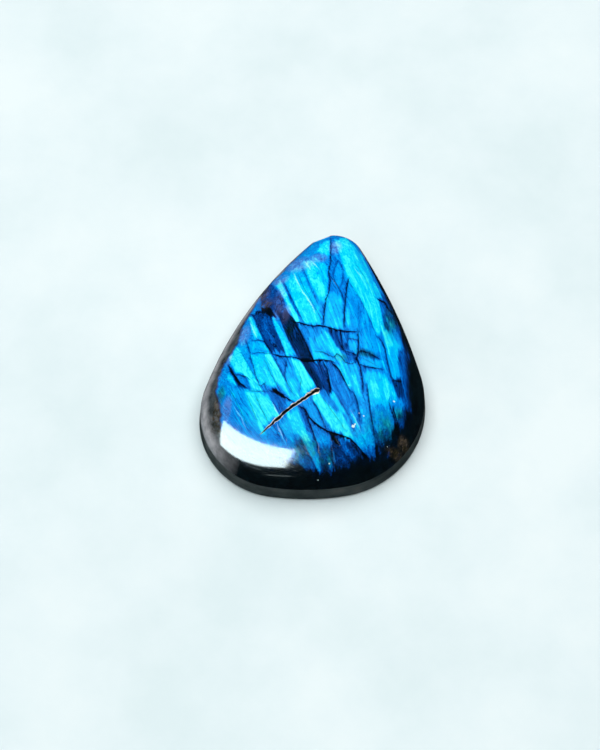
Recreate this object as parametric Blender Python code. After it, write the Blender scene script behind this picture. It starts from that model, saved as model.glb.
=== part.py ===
"""Polished labradorite cabochon: one thick teardrop of stone with a domed face, an upright rim and a flat back.

Units are metres, +Z is up. The origin is on the flat back, in the middle of the stone's box. +Y points to the tip.
"""

import math

import bmesh
import bpy
from mathutils import Vector

MM = 0.001

# Overall sizes
THICKNESS = 9.0 * MM
RIM_HEIGHT = 2.8 * MM      # from the back up to the girdle, the line where the dome starts
RIM_LEAN = 0.20 * MM       # how far the girdle stands inside the foot of the rim
BACK_BEVEL = 0.45 * MM     # the round that takes the sharp edge off the back
MEAN_RADIUS = 14.2 * MM    # turns an inset in millimetres into a share of the outline

# The outline is a rounded triangle: three corner circles, each pair joined by one shallow arc.
# Each corner is (x, y, radius), taken counter-clockwise from the tip.
TIP = (0.3 * MM, 14.4 * MM, 4.1 * MM)
LEFT_HEEL = (-3.8 * MM, -8.1 * MM, 10.4 * MM)
RIGHT_HEEL = (1.8 * MM, -5.4 * MM, 12.4 * MM)
LEFT_SIDE_RADIUS = 52.5 * MM
FOOT_RADIUS = 29.5 * MM
RIGHT_SIDE_RADIUS = 80.0 * MM

# The dome is a superellipse in section, highest over APEX.
APEX = (0.0 * MM, -3.5 * MM)
DOME_FULLNESS = 2.5        # above 2, the top is flatter than an ellipse's
DOME_SHOULDER = 1.6        # 2 is an ellipse's upright edge, 1 is a sharp one

# A small chip took the edge off the rim beside the tip. It is cut as one flat.
CHIP_MIDDLE = (-1.6 * MM, 17.1 * MM, 3.3 * MM)
CHIP_TURN = math.radians(122)    # the way that the flat faces, counter-clockwise from +X
CHIP_RISE = math.radians(27)     # and how far it looks up
CHIP_BLOCK = 12.0 * MM

# An open fissure crosses the left of the dome. Each point is (x, y, half width, depth).
FISSURE = [
    (-6.20 * MM, -13.75 * MM, 0.03 * MM, 0.08 * MM),
    (-5.05 * MM, -12.55 * MM, 0.08 * MM, 0.28 * MM),
    (-3.95 * MM, -11.45 * MM, 0.11 * MM, 0.42 * MM),
    (-3.10 * MM, -10.55 * MM, 0.14 * MM, 0.55 * MM),
    (-2.15 * MM, -9.55 * MM, 0.13 * MM, 0.60 * MM),
    (-0.80 * MM, -8.40 * MM, 0.15 * MM, 0.60 * MM),
    (0.10 * MM, -7.60 * MM, 0.14 * MM, 0.50 * MM),
    (0.90 * MM, -6.95 * MM, 0.09 * MM, 0.25 * MM),
]
FISSURE_ABOVE = 0.6 * MM   # how far the cutting blade stands out of the dome

# Fineness of the mesh
POINTS_AROUND = 120
DOME_RINGS = 22
BEVEL_STEPS = 3
SHARP_EDGE = math.radians(35)


def side_centre(first, second, radius):
    """Centre of the arc of this radius that holds both corner circles and touches each from outside."""
    a, b = Vector(first[:2]), Vector(second[:2])
    to_a, to_b = radius - first[2], radius - second[2]
    gap = (b - a).length
    along = (to_a**2 - to_b**2 + gap**2) / (2 * gap)
    across = math.sqrt(to_a**2 - along**2)
    way = (b - a) / gap
    return a + along * way + across * Vector((-way.y, way.x))


def outline_arcs():
    """The outline as (centre, radius, start angle, turn) in order, counter-clockwise."""
    corners = [TIP, LEFT_HEEL, RIGHT_HEEL]
    radii = [LEFT_SIDE_RADIUS, FOOT_RADIUS, RIGHT_SIDE_RADIUS]
    sides = [side_centre(corners[i], corners[(i + 1) % 3], radii[i]) for i in range(3)]

    def angle(origin, target):
        return math.atan2(target.y - origin.y, target.x - origin.x)

    arcs = []
    for i, corner in enumerate(corners):
        here, after = Vector(corner[:2]), Vector(corners[(i + 1) % 3][:2])
        start, end = angle(sides[i - 1], here), angle(sides[i], here)
        arcs.append((here, corner[2], start, (end - start) % math.tau))
        arcs.append((sides[i], radii[i], end, (angle(sides[i], after) - end) % math.tau))
    return arcs


def outline(count):
    """Evenly spaced points along the outline, moved so that its box is centred on the origin."""
    arcs = outline_arcs()
    total = sum(radius * turn for _, radius, _, turn in arcs)
    points = []
    for i in range(count):
        left = total * i / count
        for centre, radius, start, turn in arcs:
            if left <= radius * turn:
                angle = start + left / radius
                points.append(centre + radius * Vector((math.cos(angle), math.sin(angle))))
                break
            left -= radius * turn
    xs, ys = [p.x for p in points], [p.y for p in points]
    middle = Vector((min(xs) + max(xs), min(ys) + max(ys))) / 2
    return [p - middle for p in points]


def section():
    """The stone's section as (share of the outline, height), from the edge of the back up to the last dome ring."""
    rows = []
    for step in range(BEVEL_STEPS + 1):
        angle = math.pi / 2 * step / BEVEL_STEPS
        inset = BACK_BEVEL * (1 - math.sin(angle))
        rows.append((1 - inset / MEAN_RADIUS, BACK_BEVEL * (1 - math.cos(angle))))
    girdle = 1 - RIM_LEAN / MEAN_RADIUS
    for ring in range(DOME_RINGS):
        angle = math.pi / 2 * ring / DOME_RINGS
        share = girdle * math.cos(angle) ** (2 / DOME_FULLNESS)
        rise = (THICKNESS - RIM_HEIGHT) * math.sin(angle) ** (2 / DOME_SHOULDER)
        rows.append((share, RIM_HEIGHT + rise))
    return rows


def dome_height(x, y, rim):
    """Height of the dome over a point, from how far out it lies between the apex and the outline."""
    apex = Vector(APEX)
    offset = Vector((x, y)) - apex
    nearest = max(rim, key=lambda p: (p - apex).normalized().dot(offset.normalized()))
    girdle = (1 - RIM_LEAN / MEAN_RADIUS) * (nearest - apex).length
    share = min(1.0, offset.length / girdle)
    rise = (1 - share**DOME_FULLNESS) ** (1 / DOME_SHOULDER)
    return RIM_HEIGHT + (THICKNESS - RIM_HEIGHT) * rise


def new_object(name, bm):
    """An object of this name from a finished bmesh, in the scene."""
    bmesh.ops.recalc_face_normals(bm, faces=bm.faces)
    mesh = bpy.data.meshes.new(name)
    bm.to_mesh(mesh)
    bm.free()
    made = bpy.data.objects.new(name, mesh)
    bpy.context.scene.collection.objects.link(made)
    return made


def stone_body():
    """The closed body: rings of the section scaled about the apex, a fan at the top and one face for the back."""
    bm = bmesh.new()
    rim, apex = outline(POINTS_AROUND), Vector(APEX)
    rings = []
    for share, height in section():
        flat = [apex + share * (p - apex) for p in rim]
        rings.append([bm.verts.new((p.x, p.y, height)) for p in flat])
    for lower, upper in zip(rings, rings[1:]):
        for i in range(POINTS_AROUND):
            j = (i + 1) % POINTS_AROUND
            bm.faces.new((lower[i], lower[j], upper[j], upper[i]))
    top = bm.verts.new((apex.x, apex.y, THICKNESS))
    for i in range(POINTS_AROUND):
        bm.faces.new((rings[-1][i], rings[-1][(i + 1) % POINTS_AROUND], top))
    bm.faces.new(list(reversed(rings[0])))
    return new_object("labradorite_stone", bm)


def fissure_blade():
    """A thin tapering blade along the fissure, wedge-shaped in section, that cuts the open crack."""
    bm = bmesh.new()
    rim = outline(POINTS_AROUND)
    rows = []
    for i, (x, y, half, depth) in enumerate(FISSURE):
        before, after = FISSURE[max(i - 1, 0)], FISSURE[min(i + 1, len(FISSURE) - 1)]
        way = (Vector(after[:2]) - Vector(before[:2])).normalized()
        across = Vector((-way.y, way.x))
        surface = dome_height(x, y, rim)
        spread = half * (depth + FISSURE_ABOVE) / depth
        top = surface + FISSURE_ABOVE
        edges = [(spread, top), (-spread, top), (0.0, surface - depth)]
        rows.append([bm.verts.new((x + across.x * s, y + across.y * s, z)) for s, z in edges])
    for a, b in zip(rows, rows[1:]):
        for i in range(3):
            j = (i + 1) % 3
            bm.faces.new((a[i], a[j], b[j], b[i]))
    bm.faces.new(rows[0])
    bm.faces.new(list(reversed(rows[-1])))
    return new_object("fissure_cutter", bm)


def chip_block():
    """A block whose inner face lies along the chip beside the tip."""
    bm = bmesh.new()
    bmesh.ops.create_cube(bm, size=CHIP_BLOCK)
    block = new_object("chip_cutter", bm)
    facing = Vector((math.cos(CHIP_TURN) * math.cos(CHIP_RISE),
                     math.sin(CHIP_TURN) * math.cos(CHIP_RISE),
                     math.sin(CHIP_RISE)))
    block.rotation_mode = "QUATERNION"
    block.rotation_quaternion = facing.to_track_quat("X", "Z")
    block.location = Vector(CHIP_MIDDLE) + facing * CHIP_BLOCK / 2
    return block


def cut(body, cutter):
    """Takes the cutter's shape out of the body, and keeps the cutter out of renders."""
    cutter.hide_render = True
    cutter.display_type = "WIRE"
    modifier = body.modifiers.new(cutter.name, "BOOLEAN")
    modifier.operation = "DIFFERENCE"
    modifier.solver = "EXACT"
    modifier.object = cutter


def apply_cuts(body):
    """Keeps the cut shape as the body's own mesh, so that its new edges can be marked sharp."""
    bpy.context.view_layer.update()
    evaluated = body.evaluated_get(bpy.context.evaluated_depsgraph_get())
    cut_mesh = bpy.data.meshes.new_from_object(evaluated)
    body.modifiers.clear()
    body.data = cut_mesh
    cut_mesh.name = body.name


def polished_labradorite():
    """Deep blue stone with a glassy polish."""
    material = bpy.data.materials.new("polished_labradorite")
    material.use_nodes = True
    shader = material.node_tree.nodes["Principled BSDF"]
    shader.inputs["Base Color"].default_value = (0.010, 0.160, 0.480, 1.0)
    shader.inputs["Roughness"].default_value = 0.12
    shader.inputs["Metallic"].default_value = 0.0
    shader.inputs["IOR"].default_value = 1.56
    return material


def main():
    for obj in list(bpy.data.objects):
        bpy.data.objects.remove(obj)
    stone = stone_body()
    cut(stone, chip_block())
    cut(stone, fissure_blade())
    apply_cuts(stone)
    stone.data.materials.clear()
    stone.data.materials.append(polished_labradorite())
    stone.data.shade_smooth()
    stone.data.set_sharp_from_angle(angle=SHARP_EDGE)


main()
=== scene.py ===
# %% [markdown]
# # A polished labradorite cabochon
# Labradorite is a grey feldspar that splits, deep inside, into sheets thinner than a wave of light. Light that
# comes back from a stack of such sheets is coloured, and the stone flashes blue and cyan in long slats. A lapidary
# cuts it as a cabochon: a polished dome over a ground rim and a flat ground back.
#
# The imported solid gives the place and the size. This script makes the surface again, finer, and then its colours.

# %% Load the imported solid
import math

import bmesh
import bpy
import numpy as np
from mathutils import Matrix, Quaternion, Vector


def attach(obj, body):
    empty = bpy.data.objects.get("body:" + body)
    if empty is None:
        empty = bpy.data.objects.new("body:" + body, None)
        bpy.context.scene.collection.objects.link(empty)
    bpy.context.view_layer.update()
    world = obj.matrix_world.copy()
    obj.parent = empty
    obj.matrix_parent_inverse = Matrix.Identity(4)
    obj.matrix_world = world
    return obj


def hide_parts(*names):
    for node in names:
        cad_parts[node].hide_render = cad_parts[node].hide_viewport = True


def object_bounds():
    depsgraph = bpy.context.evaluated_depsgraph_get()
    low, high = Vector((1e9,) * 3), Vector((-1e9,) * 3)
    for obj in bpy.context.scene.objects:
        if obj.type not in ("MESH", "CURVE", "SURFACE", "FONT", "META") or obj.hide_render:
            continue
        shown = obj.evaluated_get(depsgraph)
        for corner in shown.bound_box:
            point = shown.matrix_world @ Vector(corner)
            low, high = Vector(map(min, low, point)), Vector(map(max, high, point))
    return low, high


MM = 0.001
NODE = "labradorite_stone"

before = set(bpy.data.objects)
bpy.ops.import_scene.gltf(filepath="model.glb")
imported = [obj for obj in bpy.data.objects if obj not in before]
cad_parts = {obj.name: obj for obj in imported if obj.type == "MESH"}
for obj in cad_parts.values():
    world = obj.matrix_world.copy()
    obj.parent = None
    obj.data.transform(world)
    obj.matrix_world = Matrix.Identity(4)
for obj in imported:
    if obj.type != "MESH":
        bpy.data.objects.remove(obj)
cad_low, cad_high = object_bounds()
print("solid's box in mm:", [round(v / MM, 2) for v in (cad_high - cad_low)])

# %% [markdown]
# ## The camera
# A gem is photographed from well above, so that its face is seen nearly square and its rim only just shows. The
# picture's scale fixes the lens: it is the lens that shows one millimetre of the stone as so many pixels from
# the camera's distance.

# %% Camera
CAMERA_TARGET = Vector((-2.1, -2.6, 3.0)) * MM
CAMERA_AZIMUTH = math.radians(7)
CAMERA_ELEVATION = math.radians(64)
CAMERA_DISTANCE = 250 * MM
PIXELS_PER_MM = 7.9
PICTURE_HEIGHT = 750
SENSOR = 36.0


def direction(azimuth, elevation):
    """The way to a thing at this azimuth, 0 towards -Y and 90 towards +X, and this elevation, from the stone."""
    flat = math.cos(elevation)
    return Vector((math.sin(azimuth) * flat, -math.cos(azimuth) * flat, math.sin(elevation)))


def look(obj, target):
    """Turns a camera or a light so that it points at the target."""
    obj.rotation_mode = "QUATERNION"
    obj.rotation_quaternion = (target - obj.location).to_track_quat("-Z", "Y")


camera = bpy.data.objects.new("camera", bpy.data.cameras.new("camera"))
camera.data.sensor_width = SENSOR
camera.data.lens = PIXELS_PER_MM * (CAMERA_DISTANCE / MM) / PICTURE_HEIGHT * SENSOR
camera.data.clip_start = 10 * MM
camera.data.clip_end = 10.0
camera.location = CAMERA_TARGET + CAMERA_DISTANCE * direction(CAMERA_AZIMUTH, CAMERA_ELEVATION)
look(camera, CAMERA_TARGET)
bpy.context.scene.collection.objects.link(camera)
bpy.context.scene.camera = camera
print("lens in mm:", round(camera.data.lens, 1))

# %% [markdown]
# ## The outline
# The stone's outline is a rounded triangle: three corner circles, each pair joined by one shallow arc that touches
# both. Six sizes and three places are enough, and every other measure follows from them.

# %% Sizes of the stone
THICKNESS = (cad_high.z - cad_low.z) / MM
RIM_HEIGHT = 2.8
RIM_LEAN = 0.20
BACK_BEVEL = 0.45
MEAN_RADIUS = 14.2
APEX = np.array([0.0, -3.5])
DOME_FULLNESS = 2.5
DOME_SHOULDER = 1.6
POLISHED_OFF = 0.02        # the fine surface stays this far inside the solid's edge

CORNERS = [(0.3, 14.4, 4.1), (-3.8, -8.1, 10.4), (1.8, -5.4, 12.4)]
SIDE_RADII = [52.5, 29.5, 80.0]


def side_centre(first, second, radius):
    """Centre of the arc of this radius that holds both corner circles and touches each from outside."""
    a, b = np.array(first[:2]), np.array(second[:2])
    to_a, to_b = radius - first[2], radius - second[2]
    gap = np.linalg.norm(b - a)
    along = (to_a**2 - to_b**2 + gap**2) / (2 * gap)
    across = math.sqrt(to_a**2 - along**2)
    way = (b - a) / gap
    return a + along * way + across * np.array([-way[1], way[0]])


def outline(count):
    """Evenly spaced points along the outline in mm, counter-clockwise, with its box centred on the origin."""
    sides = [side_centre(CORNERS[i], CORNERS[(i + 1) % 3], SIDE_RADII[i]) for i in range(3)]
    arcs = []
    for i, corner in enumerate(CORNERS):
        here, after = np.array(corner[:2]), np.array(CORNERS[(i + 1) % 3][:2])
        start, end, last = [math.atan2(v[1], v[0]) for v in
                            (here - sides[i - 1], here - sides[i], after - sides[i])]
        arcs.append((here, corner[2], start, (end - start) % math.tau))
        arcs.append((sides[i], SIDE_RADII[i], end, (last - end) % math.tau))
    lengths = np.array([radius * turn for _, radius, _, turn in arcs])
    ends = np.cumsum(lengths)
    places = np.arange(count) * ends[-1] / count
    points = []
    for place in places:
        i = int(np.searchsorted(ends, place, side="right"))
        centre, radius, start, _ = arcs[i]
        angle = start + (place - (ends[i] - lengths[i])) / radius
        points.append(centre + radius * np.array([math.cos(angle), math.sin(angle)]))
    points = np.array(points)
    return points - (points.max(0) + points.min(0)) / 2


RIM = outline(720)
print("outline in mm:", np.round(RIM.max(0) - RIM.min(0), 2))

# %% [markdown]
# ## The section
# From the back's edge the section runs round a small bevel, up the rim, which leans in a little, and then over the
# dome. The dome is a superellipse, because a cabochon is fuller than half an ellipse: nearly flat on top, and steep
# where it comes down to the girdle, the line where dome and rim meet.

# %% Section and dome height
GIRDLE = 1 - RIM_LEAN / MEAN_RADIUS


def section(steps=160):
    """The half section in mm, as distance from the apex and height, from the back's edge to the top."""
    bevel = np.linspace(0, math.pi / 2, 12)
    foot = np.column_stack([MEAN_RADIUS - BACK_BEVEL * (1 - np.sin(bevel)), BACK_BEVEL * (1 - np.cos(bevel))])
    arch = np.linspace(0, math.pi / 2, steps)
    share = GIRDLE * np.cos(arch) ** (2 / DOME_FULLNESS)
    rise = (THICKNESS - RIM_HEIGHT) * np.sin(arch) ** (2 / DOME_SHOULDER)
    share[-1] = 0.0
    return np.concatenate([foot, np.column_stack([MEAN_RADIUS * share, RIM_HEIGHT + rise])])


RIM_ANGLES = np.arctan2(*(RIM - APEX).T[::-1])
RIM_ORDER = np.argsort(RIM_ANGLES)


def share_out(points):
    """How far out points in mm lie, from 0 over the apex to 1 at the girdle."""
    offset = points - APEX
    reach = np.interp(np.arctan2(offset[:, 1], offset[:, 0]), RIM_ANGLES[RIM_ORDER],
                      np.linalg.norm(RIM - APEX, axis=1)[RIM_ORDER], period=math.tau)
    return np.linalg.norm(offset, axis=1) / (GIRDLE * reach)


def dome_height(points):
    """Height of the dome in mm over points in mm."""
    share = np.clip(share_out(points), 0, 1)
    return RIM_HEIGHT + (THICKNESS - RIM_HEIGHT) * (1 - share**DOME_FULLNESS) ** (1 / DOME_SHOULDER)


print("dome height over the apex in mm:", dome_height(np.array([APEX + 1e-6])))

# %% [markdown]
# ## Helpers for node trees
# One function adds a node, gives it its settings and joins its inputs. A colour is written as the hex value that a
# screen shows, and one function turns it into the linear light that Blender works in.

# %% Node and colour helpers


def colour(hex_value):
    """Linear colour with alpha 1 from a screen's hex value such as 00F0FF."""
    parts = [int(hex_value[i:i + 2], 16) / 255 for i in (0, 2, 4)]
    return (*[p / 12.92 if p <= 0.04045 else ((p + 0.055) / 1.055) ** 2.4 for p in parts], 1.0)


def add(tree, kind, settings=None, **inputs):
    """Adds a node with its settings and links. An input takes a value, a socket, or a node's first live output."""
    node = tree.nodes.new(kind)
    for name, value in (settings or {}).items():
        if name != "stops":
            setattr(node, name, value)
            continue
        elements = node.color_ramp.elements
        while len(elements) < len(value):
            elements.new(0.5)
        for element, (position, hex_value) in zip(elements, value):
            element.position = position
            element.color = colour(hex_value)
    for name, value in inputs.items():
        wanted = name.replace("_", " ").lower()
        if wanted[:2] == "in" and wanted[2:].isdigit():
            socket = node.inputs[int(wanted[2:])]
        else:
            socket = next(s for s in node.inputs if s.name.lower() == wanted and s.enabled)
        if isinstance(value, bpy.types.Node):
            value = next(s for s in value.outputs if s.enabled)
        if isinstance(value, bpy.types.NodeSocket):
            tree.links.new(value, socket)
        else:
            socket.default_value = value
    return node


def new_material(name):
    """An empty material of this name, its tree, and its Principled shader joined to the output."""
    material = bpy.data.materials.new(name)
    material.use_nodes = True
    return material, material.node_tree, material.node_tree.nodes["Principled BSDF"]


# %% [markdown]
# ## The materials' names
# The dome, the ground rim and back, and the walls of the fissure are three finishes of one stone. They are made
# here empty, so that the mesh can be given them face by face, and get their nodes further down.

# %% Materials, still empty
polished, polished_tree, polished_shader = new_material("polished_labradorite")
ground, ground_tree, ground_shader = new_material("ground_labradorite")
weathered, weathered_tree, weathered_shader = new_material("weathered_feldspar")

# %% [markdown]
# ## The stone as a loft
# The stone could be a ball with its points pulled about, but a loft follows the way it was cut: one outline and one
# section. Geometry Nodes lay a grid of points on it. A point's place along the grid picks a point of the outline,
# and its place across the grid picks a distance and a height from the section. A slow noise then takes off up to
# a few hundredths of a millimetre, as a stone polished by hand is never quite true.

# %% The outline and the section as curves


def curve_object(name, points, closed):
    """A hidden guide: a curve through points in metres."""
    data = bpy.data.curves.new(name, "CURVE")
    data.dimensions = "3D"
    spline = data.splines.new("POLY")
    spline.points.add(len(points) - 1)
    for target, point in zip(spline.points, points):
        target.co = (*point, 1.0)
    spline.use_cyclic_u = closed
    made = bpy.data.objects.new(name, data)
    made.hide_render = True
    bpy.context.scene.collection.objects.link(made)
    return made


outline_guide = curve_object("outline_guide", [(x * MM, y * MM, 0) for x, y in RIM], True)
section_guide = curve_object("section_guide", [(r * MM, 0, z * MM) for r, z in section()], False)

# %% The loft tree
loft = bpy.data.node_groups.new("cabochon_loft", "GeometryNodeTree")
SOCKETS = [("Outline", "NodeSocketObject"), ("Section", "NodeSocketObject"), ("Points Around", "NodeSocketInt"),
           ("Rings", "NodeSocketInt"), ("Apex", "NodeSocketVector"), ("Mean Radius", "NodeSocketFloat"),
           ("Inset", "NodeSocketFloat"), ("Rim Height", "NodeSocketFloat"), ("Wave Height", "NodeSocketFloat"),
           ("Wave Length", "NodeSocketFloat"), ("Dome Finish", "NodeSocketMaterial"),
           ("Rim Finish", "NodeSocketMaterial")]
loft.interface.new_socket("Geometry", in_out="INPUT", socket_type="NodeSocketGeometry")
socket_ids = {name: loft.interface.new_socket(name, in_out="INPUT", socket_type=kind).identifier
              for name, kind in SOCKETS}
loft.interface.new_socket("Geometry", in_out="OUTPUT", socket_type="NodeSocketGeometry")

given = loft.nodes.new("NodeGroupInput").outputs
grid = add(loft, "GeometryNodeMeshGrid", Size_X=1.0, Size_Y=1.0,
           Vertices_X=given["Points Around"], Vertices_Y=given["Rings"])
place = add(loft, "ShaderNodeSeparateXYZ", Vector=add(loft, "GeometryNodeInputPosition").outputs[0])
around = add(loft, "ShaderNodeMath", {"operation": "ADD"}, in0=place.outputs["X"], in1=0.5).outputs[0]
upward = add(loft, "ShaderNodeMath", {"operation": "ADD"}, in0=place.outputs["Y"], in1=0.5).outputs[0]
one_ring = add(loft, "ShaderNodeMath", {"operation": "DIVIDE"}, in0=1.0, in1=given["Rings"]).outputs[0]
rung = add(loft, "ShaderNodeMapRange", Value=upward, From_Min=one_ring, From_Max=1.0).outputs[0]
not_centre = add(loft, "ShaderNodeMath", {"operation": "GREATER_THAN"}, in0=upward, in1=1e-4).outputs[0]

outline_shape = add(loft, "GeometryNodeObjectInfo", Object=given["Outline"]).outputs["Geometry"]
section_shape = add(loft, "GeometryNodeObjectInfo", Object=given["Section"]).outputs["Geometry"]
on_outline = add(loft, "GeometryNodeSampleCurve", {"mode": "FACTOR"}, Curves=outline_shape, Factor=around)
on_section = add(loft, "GeometryNodeSampleCurve", {"mode": "FACTOR"}, Curves=section_shape, Factor=rung)
part_of = add(loft, "ShaderNodeSeparateXYZ", Vector=on_section.outputs["Position"])

inner = add(loft, "ShaderNodeMath", {"operation": "SUBTRACT"}, in0=part_of.outputs["X"], in1=given["Inset"])
share = add(loft, "ShaderNodeMath", {"operation": "DIVIDE"}, in0=inner.outputs[0], in1=given["Mean Radius"])
share = add(loft, "ShaderNodeMath", {"operation": "MAXIMUM"}, in0=share.outputs[0], in1=0.0)
share = add(loft, "ShaderNodeMath", {"operation": "MULTIPLY"}, in0=share.outputs[0], in1=not_centre)
spoke = add(loft, "ShaderNodeVectorMath", {"operation": "SUBTRACT"},
            in0=on_outline.outputs["Position"], in1=given["Apex"])
spoke = add(loft, "ShaderNodeVectorMath", {"operation": "SCALE"}, in0=spoke.outputs[0], Scale=share.outputs[0])
level = add(loft, "ShaderNodeVectorMath", {"operation": "ADD"}, in0=spoke.outputs[0], in1=given["Apex"])
lift = add(loft, "ShaderNodeCombineXYZ", Z=part_of.outputs["Z"])
point = add(loft, "ShaderNodeVectorMath", {"operation": "ADD"}, in0=level.outputs[0], in1=lift.outputs[0])
shaped = add(loft, "GeometryNodeSetPosition", Geometry=grid.outputs["Mesh"], Position=point.outputs[0])
welded = add(loft, "GeometryNodeMergeByDistance", Geometry=shaped.outputs[0], Distance=1e-7)

# %% The waviness, the finishes and the end of the tree
scale = add(loft, "ShaderNodeMath", {"operation": "DIVIDE"}, in0=1.0, in1=given["Wave Length"])
wave = add(loft, "ShaderNodeTexNoise", {"noise_dimensions": "3D"}, Scale=scale.outputs[0], Detail=1.0,
           Vector=add(loft, "GeometryNodeInputPosition").outputs[0])
height = add(loft, "ShaderNodeSeparateXYZ", Vector=add(loft, "GeometryNodeInputPosition").outputs[0])
above = add(loft, "ShaderNodeMapRange", Value=height.outputs["Z"], From_Min=0.0, From_Max=given["Rim Height"])
sunk = add(loft, "ShaderNodeMath", {"operation": "MULTIPLY"}, in0=wave.outputs[0], in1=given["Wave Height"])
sunk = add(loft, "ShaderNodeMath", {"operation": "MULTIPLY"}, in0=sunk.outputs[0], in1=above.outputs[0])
sunk = add(loft, "ShaderNodeMath", {"operation": "MULTIPLY"}, in0=sunk.outputs[0], in1=-1.0)
inward = add(loft, "ShaderNodeVectorMath", {"operation": "SCALE"}, Scale=sunk.outputs[0],
             in0=add(loft, "GeometryNodeInputNormal").outputs[0])
waved = add(loft, "GeometryNodeSetPosition", Geometry=welded.outputs[0], Offset=inward.outputs[0])
smooth = add(loft, "GeometryNodeSetShadeSmooth", Geometry=waved.outputs[0])
on_dome = add(loft, "ShaderNodeMath", {"operation": "GREATER_THAN"},
              in0=height.outputs["Z"], in1=given["Rim Height"])
whole = add(loft, "GeometryNodeRealizeInstances", Geometry=smooth.outputs[0])
whole = add(loft, "GeometryNodeSetMaterial", Geometry=whole.outputs[0], Material=given["Rim Finish"])
whole = add(loft, "GeometryNodeSetMaterial", Geometry=whole.outputs[0], Selection=on_dome.outputs[0],
            Material=given["Dome Finish"])
loft.links.new(whole.outputs[0], loft.nodes.new("NodeGroupOutput").inputs[0])
print("loft tree:", len(loft.nodes), "nodes")

# %% Make the stone from the tree


def as_plain_mesh(obj):
    """Keeps the object's evaluated shape as its own mesh, without its modifiers and without unused materials."""
    bpy.context.view_layer.update()
    mesh = bpy.data.meshes.new_from_object(obj.evaluated_get(bpy.context.evaluated_depsgraph_get()))
    obj.modifiers.clear()
    obj.data = mesh
    of_face = np.empty(len(mesh.polygons), dtype=np.int32)
    mesh.polygons.foreach_get("material_index", of_face)
    used = [i for i in range(len(mesh.materials)) if mesh.materials[i] and (of_face == i).any()]
    kept = [mesh.materials[i] for i in used]
    mesh.materials.clear()
    for material in kept:
        mesh.materials.append(material)
    mesh.polygons.foreach_set("material_index", np.searchsorted(used, of_face).astype(np.int32))


LOFT_SIZES = {
    "Outline": outline_guide,
    "Section": section_guide,
    "Points Around": 541,
    "Rings": 170,
    "Apex": (APEX[0] * MM, APEX[1] * MM, 0),
    "Mean Radius": MEAN_RADIUS * MM,
    "Inset": POLISHED_OFF * MM,
    "Rim Height": RIM_HEIGHT * MM,
    "Wave Height": 0.04 * MM,
    "Wave Length": 6.0 * MM,
    "Dome Finish": polished,
    "Rim Finish": ground,
}
stone = bpy.data.objects.new("cabochon", bpy.data.meshes.new("cabochon"))
bpy.context.scene.collection.objects.link(stone)
modifier = stone.modifiers.new("loft", "NODES")
modifier.node_group = loft
for name, value in LOFT_SIZES.items():
    modifier[socket_ids[name]] = value
as_plain_mesh(stone)
print("lofted stone:", len(stone.data.vertices), "points,", [m.name for m in stone.data.materials])

# %% [markdown]
# ## The fissure and the chip
# An open crack crosses the left of the dome. Its lips have crumbled here and there into pale steps, and its depth
# is painted black as shade. It is cut with a blade that follows the crack: narrow and deep in the middle, with a
# shallow lip on each side whose width wanders. The chip beside the tip is a shell-shaped bite, the way that
# feldspar and glass break when they are knocked.

# %% The fissure's blade
FISSURE = [(-6.2, -13.75), (-5.05, -12.55), (-3.95, -11.45), (-3.1, -10.55), (-2.15, -9.55),
           (-0.8, -8.4), (0.1, -7.6), (0.9, -6.95)]
FISSURE_DEPTH = 0.6
LIP_DEPTH = 0.07
FISSURE_STEPS = 120
BLADE_ABOVE = 0.4
# Crumbled stretches of the lip on the tip's side and of the one on the foot's side: where each starts and ends
# along the crack, from 0 to 1, and how wide it is in mm
UPPER_CRUMBS = [(0.78, 0.95, 0.34), (0.50, 0.60, 0.16), (0.28, 0.37, 0.18), (0.13, 0.20, 0.12)]
LOWER_CRUMBS = [(0.86, 0.99, 0.46), (0.36, 0.46, 0.22), (0.21, 0.29, 0.14)]


def walk(points, count):
    """This many points spaced evenly along a line of straight runs."""
    points = np.array(points, float)
    runs = np.concatenate([[0], np.cumsum(np.linalg.norm(np.diff(points, axis=0), axis=1))])
    places = np.linspace(0, runs[-1], count)
    return np.column_stack([np.interp(places, runs, points[:, i]) for i in range(points.shape[1])])


def ragged(count, step, seed):
    """A ragged line of this many values from 0 to 1, that holds each value for about this many points."""
    draw = np.random.default_rng(seed)
    knots = draw.random(count // step + 2)
    return np.interp(np.arange(count) / step, np.arange(len(knots)), knots)


def mesh_object(name, verts, faces, material=None):
    """A mesh object with its faces turned outwards."""
    mesh = bpy.data.meshes.new(name)
    mesh.from_pydata(verts, [], faces)
    solid = bmesh.new()
    solid.from_mesh(mesh)
    bmesh.ops.recalc_face_normals(solid, faces=solid.faces)
    solid.to_mesh(mesh)
    solid.free()
    if material:
        mesh.materials.append(material)
    made = bpy.data.objects.new(name, mesh)
    bpy.context.scene.collection.objects.link(made)
    return made


def crumbled(stretches, seed):
    """How far a lip has crumbled back at each step along the crack, in mm."""
    back = 0.04 + 0.09 * ragged(FISSURE_STEPS, 5, seed)
    for start, end, width in stretches:
        rise = np.clip(np.minimum(PLACES - start, end - PLACES) / 0.05, 0, 1)
        back = np.maximum(back, width * rise * (0.55 + 0.6 * ragged(FISSURE_STEPS, 4, seed + 1)))
    return back


PLACES = np.linspace(0, 1, FISSURE_STEPS)
TAPER = np.clip(np.minimum(PLACES / 0.35, (1 - PLACES) / 0.03), 0.12, 1)
SLOT = TAPER * (0.13 + 0.07 * ragged(FISSURE_STEPS, 3, 6) + 0.06 * (PLACES > 0.93))
UPPER_LIP = np.sqrt(TAPER) * crumbled(UPPER_CRUMBS, 9)
LOWER_LIP = np.sqrt(TAPER) * crumbled(LOWER_CRUMBS, 7)


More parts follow.
